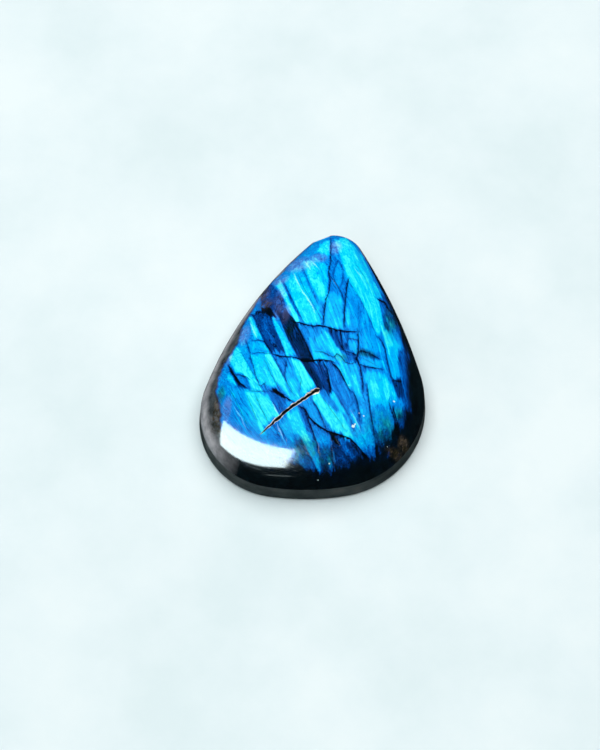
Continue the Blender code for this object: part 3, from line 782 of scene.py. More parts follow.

# %% Cracks and lines of light
# Fine cracks show as dark lines, and some lamellae catch the light as thin lines, which are painted glints. A line
# much thinner than the mesh's faces is painted as its signed distance, which stays exact between the points, and
# the shader draws it where the distance is near 0. The lines share a few layers, in each of which they keep clear
# of one another. Each line has its half width in mm, its strength, and its places.
LINE_CLEAR = 0.45
LINE_TAPER = 0.9
CRACKS = {
    "tip crack": (0.055, 0.9, (-0.4, 16.4), (0.1, 11.8), (0, 10.2), (0.4, 8.6), (0.4, 7.1), (0.2, 5.5),
        (0.2, 3.7), (0.3, 1.7)),
    "tip branch": (0.04, 0.75, (0.2, 9.5), (0.7, 8.9), (1.5, 7.8), (2.1, 6.8), (2.6, 5.6)),
    "diamond's left side": (0.03, 0.51, (1.1, 12.3), (0.7, 10.8), (0.7, 9.3), (1.2, 8.1), (1.6, 7.5)),
    "diamond's right side": (0.03, 0.47, (1.3, 12), (1.8, 10.7), (2, 9.1), (1.7, 7.7)),
    "upper right crack": (0.055, 0.9, (2.7, 9.7), (2.6, 8.3), (2.6, 6.5), (2.7, 4.3), (2.9, 2)),
    "long crack": (0.075, 1, (-3.4, 2.1), (-2.7, 1.9), (-1.7, 1.6), (-0.8, 1.5), (-0.2, 1.7),
        (0.7, 1.6), (1.9, 1.4), (3.4, 1.4), (4.6, 1.7)),
    "down crack": (0.055, 0.9, (4.6, 2.1), (4.9, 0.3), (5, -1.3), (5, -2.3), (5.5, -3.3), (5.9, -4.8),
        (6.3, -6.6)),
    "down crack's head": (0.03, 0.34, (4.3, 6.1), (4.8, 2.1)),
    "window's bar": (0.05, 0.8, (3.6, 0.5), (4.2, 0.5), (4.8, 0.5)),
    "window's side": (0.04, 0.75, (2.6, 1.2), (2.9, -0.4), (3.3, -1.5), (3.9, -1.8)),
    "window's edge": (0.035, 0.51, (3.5, 1.4), (3.6, 0.3), (3.5, -0.7)),
    "ragged crack": (0.055, 0.75, (-0.2, -2), (0.6, -2), (1.4, -2.3), (2.1, -2.6), (2.4, -2),
        (3.1, -2.3), (3.6, -3), (4.3, -3.1), (5, -2.6)),
    "second ragged crack": (0.055, 0.7, (3.1, -1.3), (4, -1.5), (4.9, -1.7), (5.3, -0.9), (6, -1),
        (6.8, -1.2), (7.9, -1.5)),
    "cross crack": (0.075, 1, (-5.6, -2.7), (-4.5, -3.1), (-3.4, -3.1), (-2.4, -3.2), (-1.9, -3.4),
        (-0.4, -3.3), (0.6, -3.1), (1.7, -3.1), (2.3, -3.2)),
    "cross crack's head": (0.035, 0.7, (-8.2, -2.7), (-7.4, -2.5), (-5.8, -2.7)),
    "cross crack's tail": (0.06, 0.95, (5.3, -2.9), (6.2, -3.1), (7.1, -3), (8.2, -2.9)),
    "line over the tail": (0.03, 0.42, (5.3, -1.9), (6.4, -2.2), (7.6, -2.6)),
    "left fork": (0.035, 0.75, (-9.2, -0.4), (-8.6, -1.9), (-8.2, -3.3), (-7.7, -4.5), (-7.2, -5.9),
        (-6.5, -7.2)),
    "short slat's foot": (0.05, 0.75, (-8.3, -0.6), (-7.6, -0.6), (-6.8, -0.9), (-5.9, -2.2),
        (-5.6, -2.7)),
    "bow": (0.04, 0.9, (-9.9, -5.5), (-9.1, -5.7), (-8.4, -6), (-7.9, -6.4)),
    "bow's root": (0.07, 0.9, (-10.9, -4), (-10.2, -5.3), (-9.5, -6.2), (-8.9, -7), (-8.1, -7.5)),
    "step": (0.035, 0.75, (-8, -7.9), (-6.9, -8), (-5.5, -7.9)),
    "crumbs over the step": (0.04, 0.7, (-7, -6.9), (-6.4, -7.3), (-6, -6.9), (-5.6, -7.7)),
    "step's head": (0.07, 0.95, (-5.1, -7.8), (-4.3, -8), (-3.5, -8.4), (-2.7, -8.8), (-1.9, -9.2)),
    "lower crack": (0.08, 1, (-1.3, -9.5), (-0.6, -9.8), (0, -10.7), (0.6, -11.2), (1.5, -11.7),
        (2.5, -12.1), (3.3, -12.2), (4.1, -12.3), (5.3, -12.5), (6.1, -13), (6.9, -13.6), (7.8, -14)),
    "lower crack's shadow": (0.175, 1, (2.9, -12.2), (3.3, -12.7), (3.9, -13.2)),
    "middle crack": (0.06, 0.95, (1.7, -3.2), (2.4, -3.6), (3.1, -4.3), (3.7, -5.3), (4.1, -6),
        (4.6, -6.6)),
    "second middle crack": (0.07, 0.85, (0.8, -3.2), (1.5, -4.3), (1.9, -5.7), (2.3, -7.3)),
    "third middle crack": (0.04, 0.75, (4.6, -6.6), (5.1, -6.9), (5.6, -7.7), (5.9, -8.7),
        (6.3, -10.1)),
    "right crack": (0.055, 0.8, (7.2, 1.7), (7.8, 1.2), (8.3, 0.2), (8.6, -1.1), (9, -2.3), (9.4, -3.5),
        (9.8, -3.9), (10.6, -3.7)),
    "low right crack": (0.06, 0.9, (9.4, -6.8), (9.8, -7.7), (10.3, -8.5), (10.7, -9.4), (11.2, -10.3)),
    "edge notch": (0.09, 0.95, (6.3, 8), (6.9, 7.8), (7.5, 7.9), (8, 7.1), (8.6, 6.6)),
    "right light's side": (0.05, 0.8, (6.6, -5.4), (7, -7.2), (7.3, -8.6), (7.7, -9.8), (8.1, -11.1),
        (8.5, -12.6)),
    "band's side": (0.035, 0.51, (-3, 1.5), (-2, -0), (-1.2, -1.4), (-0.6, -2.9)),
    "left loop": (0.03, 0.65, (-3.6, -3.3), (-3.6, -4.7), (-3.6, -5.9), (-3, -7.1)),
    "right loop": (0.03, 0.51, (-2, -5.1), (-1.5, -6.1), (-1.5, -7.6)),
    "slab line": (0.03, 0.51, (-7, -8.3), (-6, -10.1), (-5.2, -11.3), (-4.8, -12)),
    "second slab line": (0.03, 0.42, (-8.1, -8.3), (-7.1, -10.1), (-6.2, -11.8)),
    "low left line's side": (0.03, 0.51, (-10.3, -7.4), (-9.2, -9.3), (-8.1, -11.1), (-7, -12.8)),
    "fan crack": (0.055, 0.8, (-0.6, -9.9), (0, -11.1), (0.7, -12.4), (1.4, -13.7), (1.7, -14.5)),
    "second fan crack": (0.04, 0.8, (3, -13.2), (3.3, -14.3), (3.7, -15.6)),
    "third fan crack": (0.05, 0.85, (0.5, -8.9), (1.1, -9.8), (1.7, -10.9), (2.3, -11.7)),
    "line under the fissure": (0.035, 0.51, (-4.1, -12.1), (-3.7, -12.8), (-3.1, -13.6)),
    "second line under it": (0.035, 0.51, (-3.6, -11.8), (-3.1, -12.6), (-2.5, -13.5)),
    "beside the left slat": (0.03, 0.42, (-5.5, 8.5), (-4.1, 5.4), (-2.3, 2.2)),
    "beside the white line": (0.03, 0.42, (-4, 10), (-2.8, 7.3), (-1.4, 4.9), (0.2, 2.2)),
    "block's middle line": (0.03, 0.34, (-3.5, 11.2), (-2.2, 7.9), (-0.7, 4.8)),
    "centre block's line": (0.03, 0.42, (-6.5, -3.4), (-5.4, -5.5), (-3.9, -7.8)),
    "centre light's side": (0.03, 0.51, (-5.4, -3.1), (-3.9, -5.5), (-2.1, -8.3)),
    "big slat's side": (0.03, 0.38, (-9.6, -2.2), (-7.9, -5.1), (-6.8, -6.8)),
    "band's inner line": (0.03, 0.42, (2.9, 8.9), (4.4, 6.9), (5.6, 4.8), (6.6, 2.7)),
    "band's second line": (0.03, 0.34, (3.1, 12.7), (4.7, 10.6), (6.1, 8.2)),
    "slab's inner line": (0.03, 0.42, (1.3, -8), (2.9, -9.8), (4.7, -11.7)),
    "second light's side": (0.03, 0.42, (2.7, -7.1), (3.7, -8.3), (5, -10.1), (6.1, -12)),
    "long streak's side": (0.03, 0.42, (-0.5, -13.7), (0.5, -14.9), (2, -16.7)),
    "tail's line": (0.03, 0.34, (6.4, -11.5), (7.3, -12.7), (8, -13.6)),
}
LIGHT_LINES = {
    "white line": (0.05, 0.75, (-4.5, 10.1), (-4, 8.9), (-3.3, 7.5)),
    "white line's foot": (0.045, 0.8, (-3.3, 7.3), (-2.4, 6), (-1.6, 4.8), (-0.9, 3.4)),
    "tip's light line": (0.07, 0.7, (-2.5, 12.1), (-1.4, 10.6)),
    "tip's second light line": (0.07, 0.7, (-3.3, 12.1), (-2.3, 10.3)),
    "fissure's light line": (0.05, 0.8, (-4.7, -9.4), (-4.1, -10.3), (-3.6, -11)),
    "light line under it": (0.07, 0.55, (-3.8, -11.9), (-3.2, -12.9), (-2.7, -13.7)),
    "diamond's light": (0.05, 0.5, (0.7, 8.8), (1.4, 7.9)),
    "short slat's light": (0.06, 0.6, (-9.1, 2.6), (-8.4, 0.9), (-7.8, -0.3)),
    "low left light": (0.05, 0.35, (-9.4, -9.9), (-8.4, -11.2), (-7.4, -12.8)),
    "thin right light": (0.04, 0.3, (4.9, -9), (5.8, -10.3), (6.5, -11.4)),
    "band's light line": (0.05, 0.4, (3.2, 11.6), (4, 10.7), (4.5, 9.9)),
}


def paint_lines(prefix, lines):
    """Paints the lines on as few layers as they fit on, and gives the layers' names."""
    layers = []
    for half, strength, *places in lines.values():
        distance, side, along, length = nearest_on(flat, places)
        near = distance < LINE_CLEAR
        layer = next((made for made in layers if not (made["near"] & near).any()), None)
        if layer is None:
            layer = {"near": np.zeros(len(flat), bool), "values": np.tile([1.0, -0.3, 0.0], (len(flat), 1))}
            layers.append(layer)
        tapered = half * np.clip(np.minimum(along, length - along) / LINE_TAPER, 0, 1) - 0.004
        values = np.column_stack([side * distance, tapered, np.full(len(flat), strength)])
        layer["values"][near] = values[near]
        layer["near"] |= near
    for i, layer in enumerate(layers):
        paint(f"{prefix}_{i + 1}", layer["values"])
    return [f"{prefix}_{i + 1}" for i in range(len(layers))]


crack_layers = paint_lines("cracks", CRACKS)
light_layers = paint_lines("lights", LIGHT_LINES)

# %% Painted lilac sheen, teal, brown stain, border and glinting specks
# A painted lilac sheen lies over the flash where the slats lean away from the light, the painted flash turns teal
# where it dies out, and brown iron stain fills an old break in the left border. Each patch has its middle and its
# two half widths in mm.
LILAC_SHEEN = [(-3.9, 11.7, 1.5, 1.2), (-1.6, 12.4, 1.0, 0.7), (0.4, 14.7, 0.7, 1.2), (-6.1, 9.3, 0.9, 0.8),
    (-5.7, 5.2, 0.7, 2.3), (-4.6, 3.2, 0.5, 1.3), (-9.5, 0.5, 0.6, 1.3), (-10.3, -10, 0.5, 1.3),
    (-11.1, -2.2, 0.4, 1.4), (-8.1, 7.5, 0.8, 1.8), (-12.6, -10.6, 0.4, 1.1), (-11.7, -12.8, 0.4, 0.7)]
TEAL = [(-0.4, -14.8, 1.3, 1.6), (9.2, -10.3, 1.9, 1.8), (8.5, 4.8, 0.8, 2.9), (6, -1.2, 1.2, 0.5),
    (-11.3, -8, 0.5, 1.0), (3, -2.4, 0.7, 0.5), (10.8, -8.1, 0.7, 0.9), (-3.8, 1.3, 0.5, 1.3),
    (2.6, -15, 1.0, 1.0), (1, -14.2, 0.4, 0.9)]
STAIN = [(-11.6, -10.5, 0.6, 2.2), (-11, -12.3, 0.4, 0.7), (-7.4, 5.2, 0.9, 0.9), (-8, 7.7, 0.5, 1.6),
    (11.9, -11.1, 0.7, 0.7), (10.9, -12.5, 1.0, 0.5)]
# Specks are tiny pits and inclusions, painted pale with the glint of light they catch.
GLINTING_SPECKS = [(5.5, -11.0, 0.20), (10.1, -6.7, 0.15), (6.0, -9.3, 0.10), (6.6, -9.5, 0.11), (4.4, -6.0, 0.09),
          (3.1, -15.5, 0.11), (9.9, -12.2, 0.11), (1.9, -17.2, 0.10), (5.7, -10.7, 0.14)]


def patches(places):
    """The strongest of a few oval patches at each point, each 1 in its middle and 0 past its edge."""
    strongest = np.zeros(len(flat))
    for x, y, half_x, half_y in places:
        out = np.hypot((flat[:, 0] - x) / half_x, (flat[:, 1] - y) / half_y)
        strongest = np.maximum(strongest, np.clip((1.4 - out) / 0.8, 0, 1))
    return strongest


paint("tints", np.column_stack([patches(LILAC_SHEEN), patches(TEAL), patches(STAIN)]))
glinting_speck = [np.clip(1.5 - 0.5 * np.hypot(flat[:, 0] - x, flat[:, 1] - y) / r, 0, 1) for x, y, r in GLINTING_SPECKS]
paint("border", np.column_stack([share_out(flat), left_side, np.max(glinting_speck, axis=0)]))
distance, side, along, length = nearest_on(flat, FISSURE)
lips = [np.interp(along / length, PLACES, lip) for lip in (UPPER_LIP, LOWER_LIP)]
paint("lip", np.column_stack([np.where(side > 0, *lips), dome_height(flat) - points[:, 2], 0 * along]))

# %% [markdown]
# ## Polished labradorite
# Labradorite's body is a glassy grey feldspar with an index of about 1.56. Diamond grit leaves it as smooth as
# glass but for a few hairline scratches. The colour under the polish follows the painted tone, and noise adds what
# is too fine to place: lamellae a few tenths of a millimetre wide and many millimetres long, clouds where the
# crystal isn't quite even, and a fine mottle of mineral grains.

# %% One layer of lines as a group of nodes
line_group = bpy.data.node_groups.new("painted_line", "ShaderNodeTree")
line_group.interface.new_socket("Layer", in_out="INPUT", socket_type="NodeSocketVector")
line_group.interface.new_socket("Ragged", in_out="INPUT", socket_type="NodeSocketFloat")
line_group.interface.new_socket("Drawn", in_out="OUTPUT", socket_type="NodeSocketFloat")
line_group.interface.new_socket("Shade", in_out="OUTPUT", socket_type="NodeSocketFloat")
into = line_group.nodes.new("NodeGroupInput").outputs
parts = add(line_group, "ShaderNodeSeparateXYZ", Vector=into["Layer"]).outputs
wander = add(line_group, "ShaderNodeMapRange", Value=into["Ragged"], From_Min=0.3, From_Max=0.7,
             To_Min=-0.07, To_Max=0.07)
moved = add(line_group, "ShaderNodeMath", {"operation": "ADD"}, in0=parts["X"], in1=wander)
away = add(line_group, "ShaderNodeMath", {"operation": "ABSOLUTE"}, in0=moved)
wide = add(line_group, "ShaderNodeMapRange", Value=into["Ragged"], From_Min=0.35, From_Max=0.6,
           To_Min=0.5, To_Max=1.5)
half_width = add(line_group, "ShaderNodeMath", {"operation": "MULTIPLY"}, in0=parts["Y"], in1=wide)
over = add(line_group, "ShaderNodeMath", {"operation": "SUBTRACT"}, in0=half_width, in1=away)
drawn = add(line_group, "ShaderNodeMapRange", {"interpolation_type": "SMOOTHSTEP"}, Value=over,
            From_Min=-0.045, From_Max=0.02)
drawn = add(line_group, "ShaderNodeMath", {"operation": "MULTIPLY"}, in0=drawn, in1=parts["Z"])
beside = add(line_group, "ShaderNodeMapRange", Value=over, From_Min=-0.28, From_Max=-0.02)
lower_side = add(line_group, "ShaderNodeMapRange", Value=moved, From_Min=0.04, From_Max=-0.04, To_Min=0.35)
shade = add(line_group, "ShaderNodeMath", {"operation": "MULTIPLY"}, in0=beside, in1=lower_side)
shade = add(line_group, "ShaderNodeMath", {"operation": "MULTIPLY"}, in0=shade, in1=parts["Z"])
given = line_group.nodes.new("NodeGroupOutput").inputs
line_group.links.new(drawn.outputs[0], given["Drawn"])
line_group.links.new(shade.outputs[0], given["Shade"])

# %% Patterns of the polished stone
# Each pattern is noise stretched along the grain: its width across the grain and its length along it in mm, and
# its detail.
PATTERNS = {
    "lamella": (0.45, 9.0, 1.0),
    "fine lamella": (0.14, 4.0, 2.0),
    "streak": (1.1, 5.0, 2.0),
    "cloud": (1.3, 1.6, 4.0),
    "mottle": (0.30, 0.34, 3.0),
}
tree = polished_tree
painted = {name: add(tree, "ShaderNodeAttribute", {"attribute_type": "GEOMETRY", "attribute_name": name})
           for name in ("grain", "flash", "flash_edge", "tints", "border")}
grain = painted["grain"].outputs["Vector"]
bend = add(tree, "ShaderNodeTexNoise", Vector=grain, Scale=0.25, Detail=1.0).outputs["Color"]
bent = add(tree, "ShaderNodeVectorMath", {"operation": "MULTIPLY_ADD"}, in0=bend, in1=(0.9, 0, 0), in2=grain)
pattern = {}
for seed, (name, (across, along, detail)) in enumerate(PATTERNS.items()):
    fitted = add(tree, "ShaderNodeMapping", Vector=bent, Location=(seed, 3.7 * seed, 0),
                 Scale=(1 / across, 1 / along, 1 / across))
    pattern[name] = add(tree, "ShaderNodeTexNoise", Scale=1.0, Detail=detail, Roughness=0.6,
                        Vector=fitted).outputs[0]
ragged_noise = add(tree, "ShaderNodeTexNoise", Scale=2.2, Detail=3.0, Roughness=0.65, Vector=grain).outputs[0]

# %% Every layer of lines, each joined to the ones before it
drawn = {"cracks": None, "lights": None}
shaded = None
for name in [*crack_layers, *light_layers]:
    kind = name.split("_")[0]
    layer = add(tree, "ShaderNodeAttribute", {"attribute_type": "GEOMETRY", "attribute_name": name})
    line = add(tree, "ShaderNodeGroup", {"node_tree": line_group}, Ragged=ragged_noise,
               Layer=layer.outputs["Vector"]).outputs
    if drawn[kind] is None:
        drawn[kind] = line["Drawn"]
    else:
        drawn[kind] = add(tree, "ShaderNodeMath", {"operation": "MAXIMUM"}, in0=drawn[kind],
                          in1=line["Drawn"]).outputs[0]
    if kind == "cracks":
        shaded = line["Shade"] if shaded is None else add(
            tree, "ShaderNodeMath", {"operation": "MAXIMUM"}, in0=shaded, in1=line["Shade"]).outputs[0]

# %% The tone of the flash
# The painted tone, taken up and down by each pattern, darker beside a crack and lighter on a line of light
TONE_GAIN = 0.95
STRENGTHS = {"lamella": 0.28, "fine lamella": 0.36, "cloud": 0.24, "mottle": 0.26}
SEAMS = [(0.52, 0.030, -0.16), (0.62, 0.025, 0.10)]    # the noise's level, half the seam's width in it, strength
swing = -sum(STRENGTHS.values()) / 2
for name, strength in STRENGTHS.items():
    swing = add(tree, "ShaderNodeMath", {"operation": "MULTIPLY_ADD"}, in0=pattern[name], in1=strength, in2=swing)
flash = painted["flash"].outputs["Fac"]
calmer_in_the_dark = add(tree, "ShaderNodeMapRange", Value=flash, From_Min=0.05, From_Max=0.5, To_Min=0.15)
swing = add(tree, "ShaderNodeMath", {"operation": "MULTIPLY"}, in0=swing, in1=calmer_in_the_dark)
tone = add(tree, "ShaderNodeMath", {"operation": "MULTIPLY_ADD"}, in0=flash, in1=TONE_GAIN, in2=swing)
for level, half, strength in SEAMS:
    gap = add(tree, "ShaderNodeMath", {"operation": "SUBTRACT"}, in0=pattern["lamella"], in1=level)
    gap = add(tree, "ShaderNodeMath", {"operation": "ABSOLUTE"}, in0=gap)
    seam = add(tree, "ShaderNodeMapRange", Value=gap, From_Min=half, From_Max=0.0, To_Max=strength)
    tone = add(tree, "ShaderNodeMath", {"operation": "ADD"}, in0=tone, in1=seam)
tone = add(tree, "ShaderNodeMath", {"operation": "MULTIPLY_ADD"}, in0=shaded, in1=-0.26, in2=tone)
tone = add(tree, "ShaderNodeMath", {"operation": "MULTIPLY_ADD"}, in0=drawn["lights"], in1=0.22, in2=tone)

# %% The flash's edge, broken up by long streaks
edge = add(tree, "ShaderNodeMapRange", {"clamp": False}, Value=pattern["streak"], From_Min=0.3, From_Max=0.7,
           To_Min=-0.5, To_Max=0.5)
edge = add(tree, "ShaderNodeMath", {"operation": "ADD"}, in0=painted["flash_edge"].outputs["Fac"], in1=edge)
# lit is how much of the flash shows; its soft fade at the foot and on the right is painted shade.
lit = add(tree, "ShaderNodeMapRange", {"interpolation_type": "SMOOTHSTEP"}, Value=edge, From_Min=-0.8, From_Max=0.8)
tone = add(tree, "ShaderNodeMath", {"operation": "MULTIPLY"}, in0=tone, in1=lit)

# %% Colours of the flash
FLASH_COLOURS = [(0.0, "01060C"), (0.14, "001A38"), (0.28, "003C8A"), (0.42, "0068CC"), (0.56, "0090EE"),
                 (0.70, "00B6FC"), (0.85, "00DCFF"), (1.0, "3CFAFF")]
LILAC_SHEEN_COLOURS = [(0.0, "1E1A28"), (0.3, "44507C"), (0.6, "5C90E4"), (0.85, "7CD8FC"), (1.0, "A8F4FF")]
TEAL_COLOURS = [(0.0, "01080A"), (0.2, "02222A"), (0.45, "045868"), (0.7, "0C98A8"), (1.0, "50E0D8")]
tints = add(tree, "ShaderNodeSeparateXYZ", Vector=painted["tints"].outputs["Vector"]).outputs
shown = add(tree, "ShaderNodeValToRGB", {"stops": FLASH_COLOURS}, Fac=tone)
# The lilac tint is a painted sheen, and the teal is the painted flash dying out.
for tint, stops, strength in (("X", LILAC_SHEEN_COLOURS, 0.85), ("Y", TEAL_COLOURS, 0.85)):
    patchy = add(tree, "ShaderNodeMapRange", Value=pattern["cloud"], From_Min=0.30, From_Max=0.55, To_Max=strength)
    patchy = add(tree, "ShaderNodeMath", {"operation": "MULTIPLY"}, in0=patchy, in1=tints[tint])
    tinted = add(tree, "ShaderNodeValToRGB", {"stops": stops}, Fac=tone)
    shown = add(tree, "ShaderNodeMix", {"data_type": "RGBA"}, Factor=patchy, A=shown, B=tinted)
# Lines of light are painted glints: paler, towards white.
pale = add(tree, "ShaderNodeMath", {"operation": "MULTIPLY"}, in0=drawn["lights"], in1=0.42)
shown = add(tree, "ShaderNodeMix", {"data_type": "RGBA"}, Factor=pale, A=shown, B=colour("D8FAFF"))

# %% The body beyond the flash, a painted rim reflection, the brown stain, cracks and glinting specks
# The body is dark just beyond the flash and a lighter grey towards the left edge. Right at the rim on the left,
# the paler grey is a painted reflection of a bright surround.
DARK_BODY = [(0.3, "020609"), (0.7, "08161B")]
INNER_GREY = [(0.3, "262C2E"), (0.5, "464E52"), (0.7, "6E7478")]
# The outer grey stands for a painted reflection at the left rim.
RIM_REFLECTION_GREY = [(0.3, "8A8C90"), (0.5, "AEAEB2"), (0.7, "CCCACE")]
STAIN_BROWN = [(0.35, "1E2012"), (0.5, "3A3220"), (0.65, "6A5C50")]
border = add(tree, "ShaderNodeSeparateXYZ", Vector=painted["border"].outputs["Vector"]).outputs
rim_reflection = add(tree, "ShaderNodeMapRange", {"interpolation_type": "SMOOTHSTEP"}, Value=border["X"],
               From_Min=0.90, From_Max=0.97)
inner = add(tree, "ShaderNodeValToRGB", {"stops": INNER_GREY}, Fac=pattern["cloud"])
outer = add(tree, "ShaderNodeValToRGB", {"stops": RIM_REFLECTION_GREY}, Fac=pattern["cloud"])
grey = add(tree, "ShaderNodeMix", {"data_type": "RGBA"}, Factor=rim_reflection, A=inner, B=outer)
dark = add(tree, "ShaderNodeValToRGB", {"stops": DARK_BODY}, Fac=pattern["cloud"])
body = add(tree, "ShaderNodeMix", {"data_type": "RGBA"}, Factor=border["Y"], A=dark, B=grey)
shown = add(tree, "ShaderNodeMix", {"data_type": "RGBA"}, Factor=lit, A=body, B=shown)
stained = add(tree, "ShaderNodeMapRange", Value=pattern["mottle"], From_Min=0.35, From_Max=0.6, To_Max=0.9)
stained = add(tree, "ShaderNodeMath", {"operation": "MULTIPLY"}, in0=stained, in1=tints["Z"])
brown = add(tree, "ShaderNodeValToRGB", {"stops": STAIN_BROWN}, Fac=pattern["cloud"])
shown = add(tree, "ShaderNodeMix", {"data_type": "RGBA"}, Factor=stained, A=shown, B=brown)
shown = add(tree, "ShaderNodeMix", {"data_type": "RGBA"}, Factor=drawn["cracks"], A=shown, B=colour("01060E"))
# The specks' pale colour is a painted glint.
speck_glint = add(tree, "ShaderNodeMapRange", Value=border["Z"], From_Min=0.95, From_Max=1.0)
shown = add(tree, "ShaderNodeMix", {"data_type": "RGBA"}, Factor=speck_glint, A=shown, B=colour("D8F8F4"))
tree.links.new(shown.outputs[2], polished_shader.inputs["Base Color"])

# %% Polish, scratches and relief
# Hairline scratches, a few hundredths of a millimetre wide, are drawn wider so that they show at all.
SCRATCH = 0.12
SCRATCH_LENGTH = 5.0
scratches = None
for seed, angle in ((5, 20), (6, -35), (7, 80)):
    turned = add(tree, "ShaderNodeVectorRotate", {"rotation_type": "Z_AXIS"}, Vector=grain,
                 Angle=math.radians(angle))
    fitted = add(tree, "ShaderNodeMapping", Vector=turned, Location=(seed, 3.7 * seed, 0),
                 Scale=(1 / SCRATCH, 1 / SCRATCH_LENGTH, 1 / SCRATCH))
    strokes = add(tree, "ShaderNodeTexNoise", Scale=1.0, Detail=1.0, Vector=fitted)
    strokes = add(tree, "ShaderNodeMapRange", Value=strokes.outputs[0], From_Min=0.65, From_Max=0.75)
    scratches = strokes if scratches is None else add(
        tree, "ShaderNodeMath", {"operation": "MAXIMUM"}, in0=scratches, in1=strokes)
rough = add(tree, "ShaderNodeMapRange", Value=scratches, To_Min=0.10, To_Max=0.24)
tree.links.new(rough.outputs[0], polished_shader.inputs["Roughness"])
relief = add(tree, "ShaderNodeMath", {"operation": "MULTIPLY"}, in0=scratches, in1=0.10)
relief = add(tree, "ShaderNodeMath", {"operation": "MAXIMUM"}, in0=relief, in1=drawn["cracks"])
bump = add(tree, "ShaderNodeBump", {"invert": True}, Strength=0.6, Distance=0.01 * MM, Height=relief)
tree.links.new(bump.outputs[0], polished_shader.inputs["Normal"])
polished_shader.inputs["IOR"].default_value = 1.56
print("polished labradorite:", len(tree.nodes), "nodes,", crack_layers, light_layers)

# %% [markdown]
# ## Ground rim and back
# The rim and the back are left from a finer and a coarser wheel: grey-green feldspar with the wheel's marks, which
# run round the rim. It is duller than the dome, but still half glossy where light grazes it.

# %% Ground labradorite
tree = ground_tree
GRIND_MARK = 0.12 * MM
PATCH = 3.0 * MM
GROUND_COLOURS = [(0.3, "1E2828"), (0.45, "323E3E"), (0.6, "4A5252"), (0.75, "5E5C58")]
spot = add(tree, "ShaderNodeTexCoord").outputs["Object"]
fitted = add(tree, "ShaderNodeMapping", Vector=spot, Scale=(60, 60, 1 / GRIND_MARK))
marks = add(tree, "ShaderNodeTexNoise", Scale=1.0, Detail=2.0, Vector=fitted)
cloud = add(tree, "ShaderNodeTexNoise", Scale=1 / PATCH, Detail=4.0, Roughness=0.65, Vector=spot)
shade = add(tree, "ShaderNodeMapRange", Value=marks, From_Min=0.3, From_Max=0.7, To_Min=-0.12, To_Max=0.12)
shade = add(tree, "ShaderNodeMath", {"operation": "ADD"}, in0=cloud, in1=shade)
stone_grey = add(tree, "ShaderNodeValToRGB", {"stops": GROUND_COLOURS}, Fac=shade)
tree.links.new(stone_grey.outputs[0], ground_shader.inputs["Base Color"])
dull = add(tree, "ShaderNodeMapRange", Value=cloud, From_Min=0.3, From_Max=0.7, To_Min=0.28, To_Max=0.45)
tree.links.new(dull.outputs[0], ground_shader.inputs["Roughness"])
bump = add(tree, "ShaderNodeBump", Strength=0.3, Distance=0.02 * MM, Height=marks)
tree.links.new(bump.outputs[0], ground_shader.inputs["Normal"])
ground_shader.inputs["IOR"].default_value = 1.56

# %% [markdown]
# ## Walls of the fissure
# Where a lip has crumbled it is bare feldspar, white to cream and brown where dust and iron sit. Elsewhere the wall
# drops straight into the dark, and there it is painted near-black as shade. The painted width of the lip and the
# depth under the dome tell the two apart.

# %% Weathered feldspar
tree = weathered_tree
CRUMB = 0.35 * MM
LIP_COLOURS = [(0.32, "5A4A26"), (0.42, "B8AC8C"), (0.50, "F0EAD8"), (0.65, "FFFDF6")]
spot = add(tree, "ShaderNodeTexCoord").outputs["Object"]
crumbs = add(tree, "ShaderNodeTexNoise", Scale=1 / CRUMB, Detail=3.0, Roughness=0.7, Vector=spot)
bare = add(tree, "ShaderNodeValToRGB", {"stops": LIP_COLOURS}, Fac=crumbs)
lip = add(tree, "ShaderNodeAttribute", {"attribute_type": "GEOMETRY", "attribute_name": "lip"})
lip = add(tree, "ShaderNodeSeparateXYZ", Vector=lip.outputs["Vector"]).outputs
crumbled_back = add(tree, "ShaderNodeMapRange", Value=lip["X"], From_Min=0.03, From_Max=0.08)
shallow = add(tree, "ShaderNodeMapRange", Value=lip["Y"], From_Min=0.11, From_Max=0.05)
lighter = add(tree, "ShaderNodeMath", {"operation": "MULTIPLY"}, in0=crumbled_back, in1=shallow)
# The near-black of the deep wall and of the lips that have not crumbled is painted shade.
wall = add(tree, "ShaderNodeMix", {"data_type": "RGBA"}, Factor=lighter, A=colour("060502"), B=bare)
tree.links.new(wall.outputs[2], weathered_shader.inputs["Base Color"])
weathered_shader.inputs["Roughness"].default_value = 0.75
weathered_shader.inputs["Specular IOR Level"].default_value = 0.15
bump = add(tree, "ShaderNodeBump", Strength=0.6, Distance=0.03 * MM, Height=crumbs)
tree.links.new(bump.outputs[0], weathered_shader.inputs["Normal"])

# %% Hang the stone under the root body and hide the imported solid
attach(stone, "root")
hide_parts(NODE)

# %% [markdown]
# ## Floor and light
# The stone lies on a pale sheet under one large soft light. The polished dome needs a second thing to reflect: a
# window, low on the left, whose picture on the curved shoulder is the white patch that tells the eye the stone is
# polished. The soft light itself is kept out of reflections, or it would veil the whole dome.

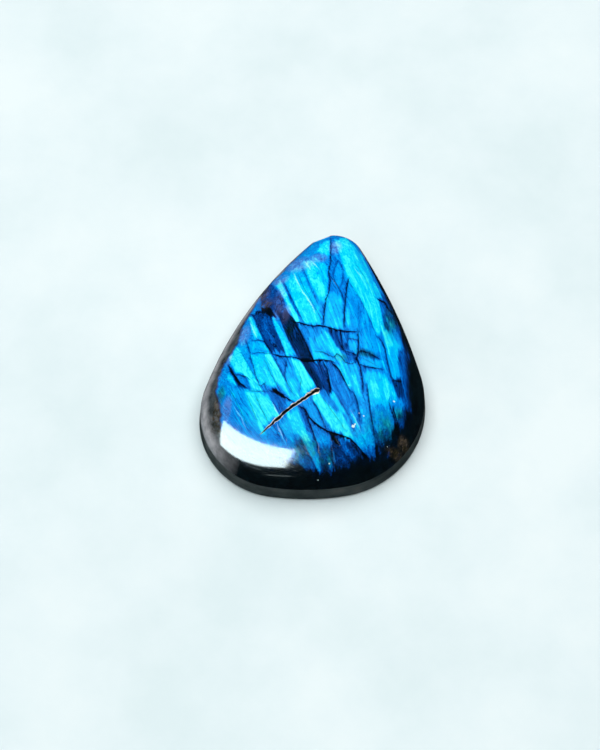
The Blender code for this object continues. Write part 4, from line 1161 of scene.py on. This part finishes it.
# %% Floor
floor_material, floor_tree, floor_shader = new_material("pale_sheet")
FLOOR_HALF = 0.6
CLOUD = 22 * MM
corners = [(-FLOOR_HALF, -FLOOR_HALF, 0), (FLOOR_HALF, -FLOOR_HALF, 0), (FLOOR_HALF, FLOOR_HALF, 0),
           (-FLOOR_HALF, FLOOR_HALF, 0)]
floor = mesh_object("floor", corners, [(0, 1, 2, 3)], floor_material)
floor.visible_glossy = False
spot = add(floor_tree, "ShaderNodeTexCoord").outputs["Object"]
fibres = add(floor_tree, "ShaderNodeTexNoise", Scale=1 / CLOUD, Detail=6.0, Roughness=0.55, Vector=spot)
sheet = add(floor_tree, "ShaderNodeValToRGB", {"stops": [(0.35, "D4E3E5"), (0.5, "DBE8EA"), (0.65, "E1ECED")]},
            Fac=fibres)
floor_tree.links.new(sheet.outputs[0], floor_shader.inputs["Base Color"])
floor_shader.inputs["Roughness"].default_value = 0.85

# %% Lights


def area_light(name, azimuth, elevation, distance, size, power, roll=0.0):
    """A soft rectangular light that points at the stone from this way and distance, rolled about its own axis."""
    light = bpy.data.lights.new(name, "AREA")
    light.shape = "RECTANGLE"
    light.size, light.size_y = size
    light.energy = power
    made = bpy.data.objects.new(name, light)
    aim = Vector((0, 0, 4)) * MM
    made.location = aim + distance * direction(math.radians(azimuth), math.radians(elevation))
    look(made, aim)
    made.rotation_quaternion = made.rotation_quaternion @ Quaternion((0, 0, 1), math.radians(roll))
    bpy.context.scene.collection.objects.link(made)
    return made


overhead = area_light("overhead_softbox", 180, 78, 0.9, (1.2, 1.2), 14.5)
overhead.visible_glossy = False
# The window, and the lit edge of its sill
for name, azimuth, elevation, size, power, roll in (("window", -44, 35, (0.57, 0.24), 9.6, 23),
                                                    ("sill", -5, 10.6, (0.09, 0.006), 0.01, 15)):
    pane = area_light(name, azimuth, elevation, 0.43, size, power, roll)
    pane.data.color = colour("E6FCFF")[:3]
    pane.visible_diffuse = False

world = bpy.data.worlds.new("studio")
bpy.context.scene.world = world
world.use_nodes = True
world.node_tree.nodes["Background"].inputs["Color"].default_value = colour("1A2024")
bpy.context.scene.view_settings.view_transform = "Standard"
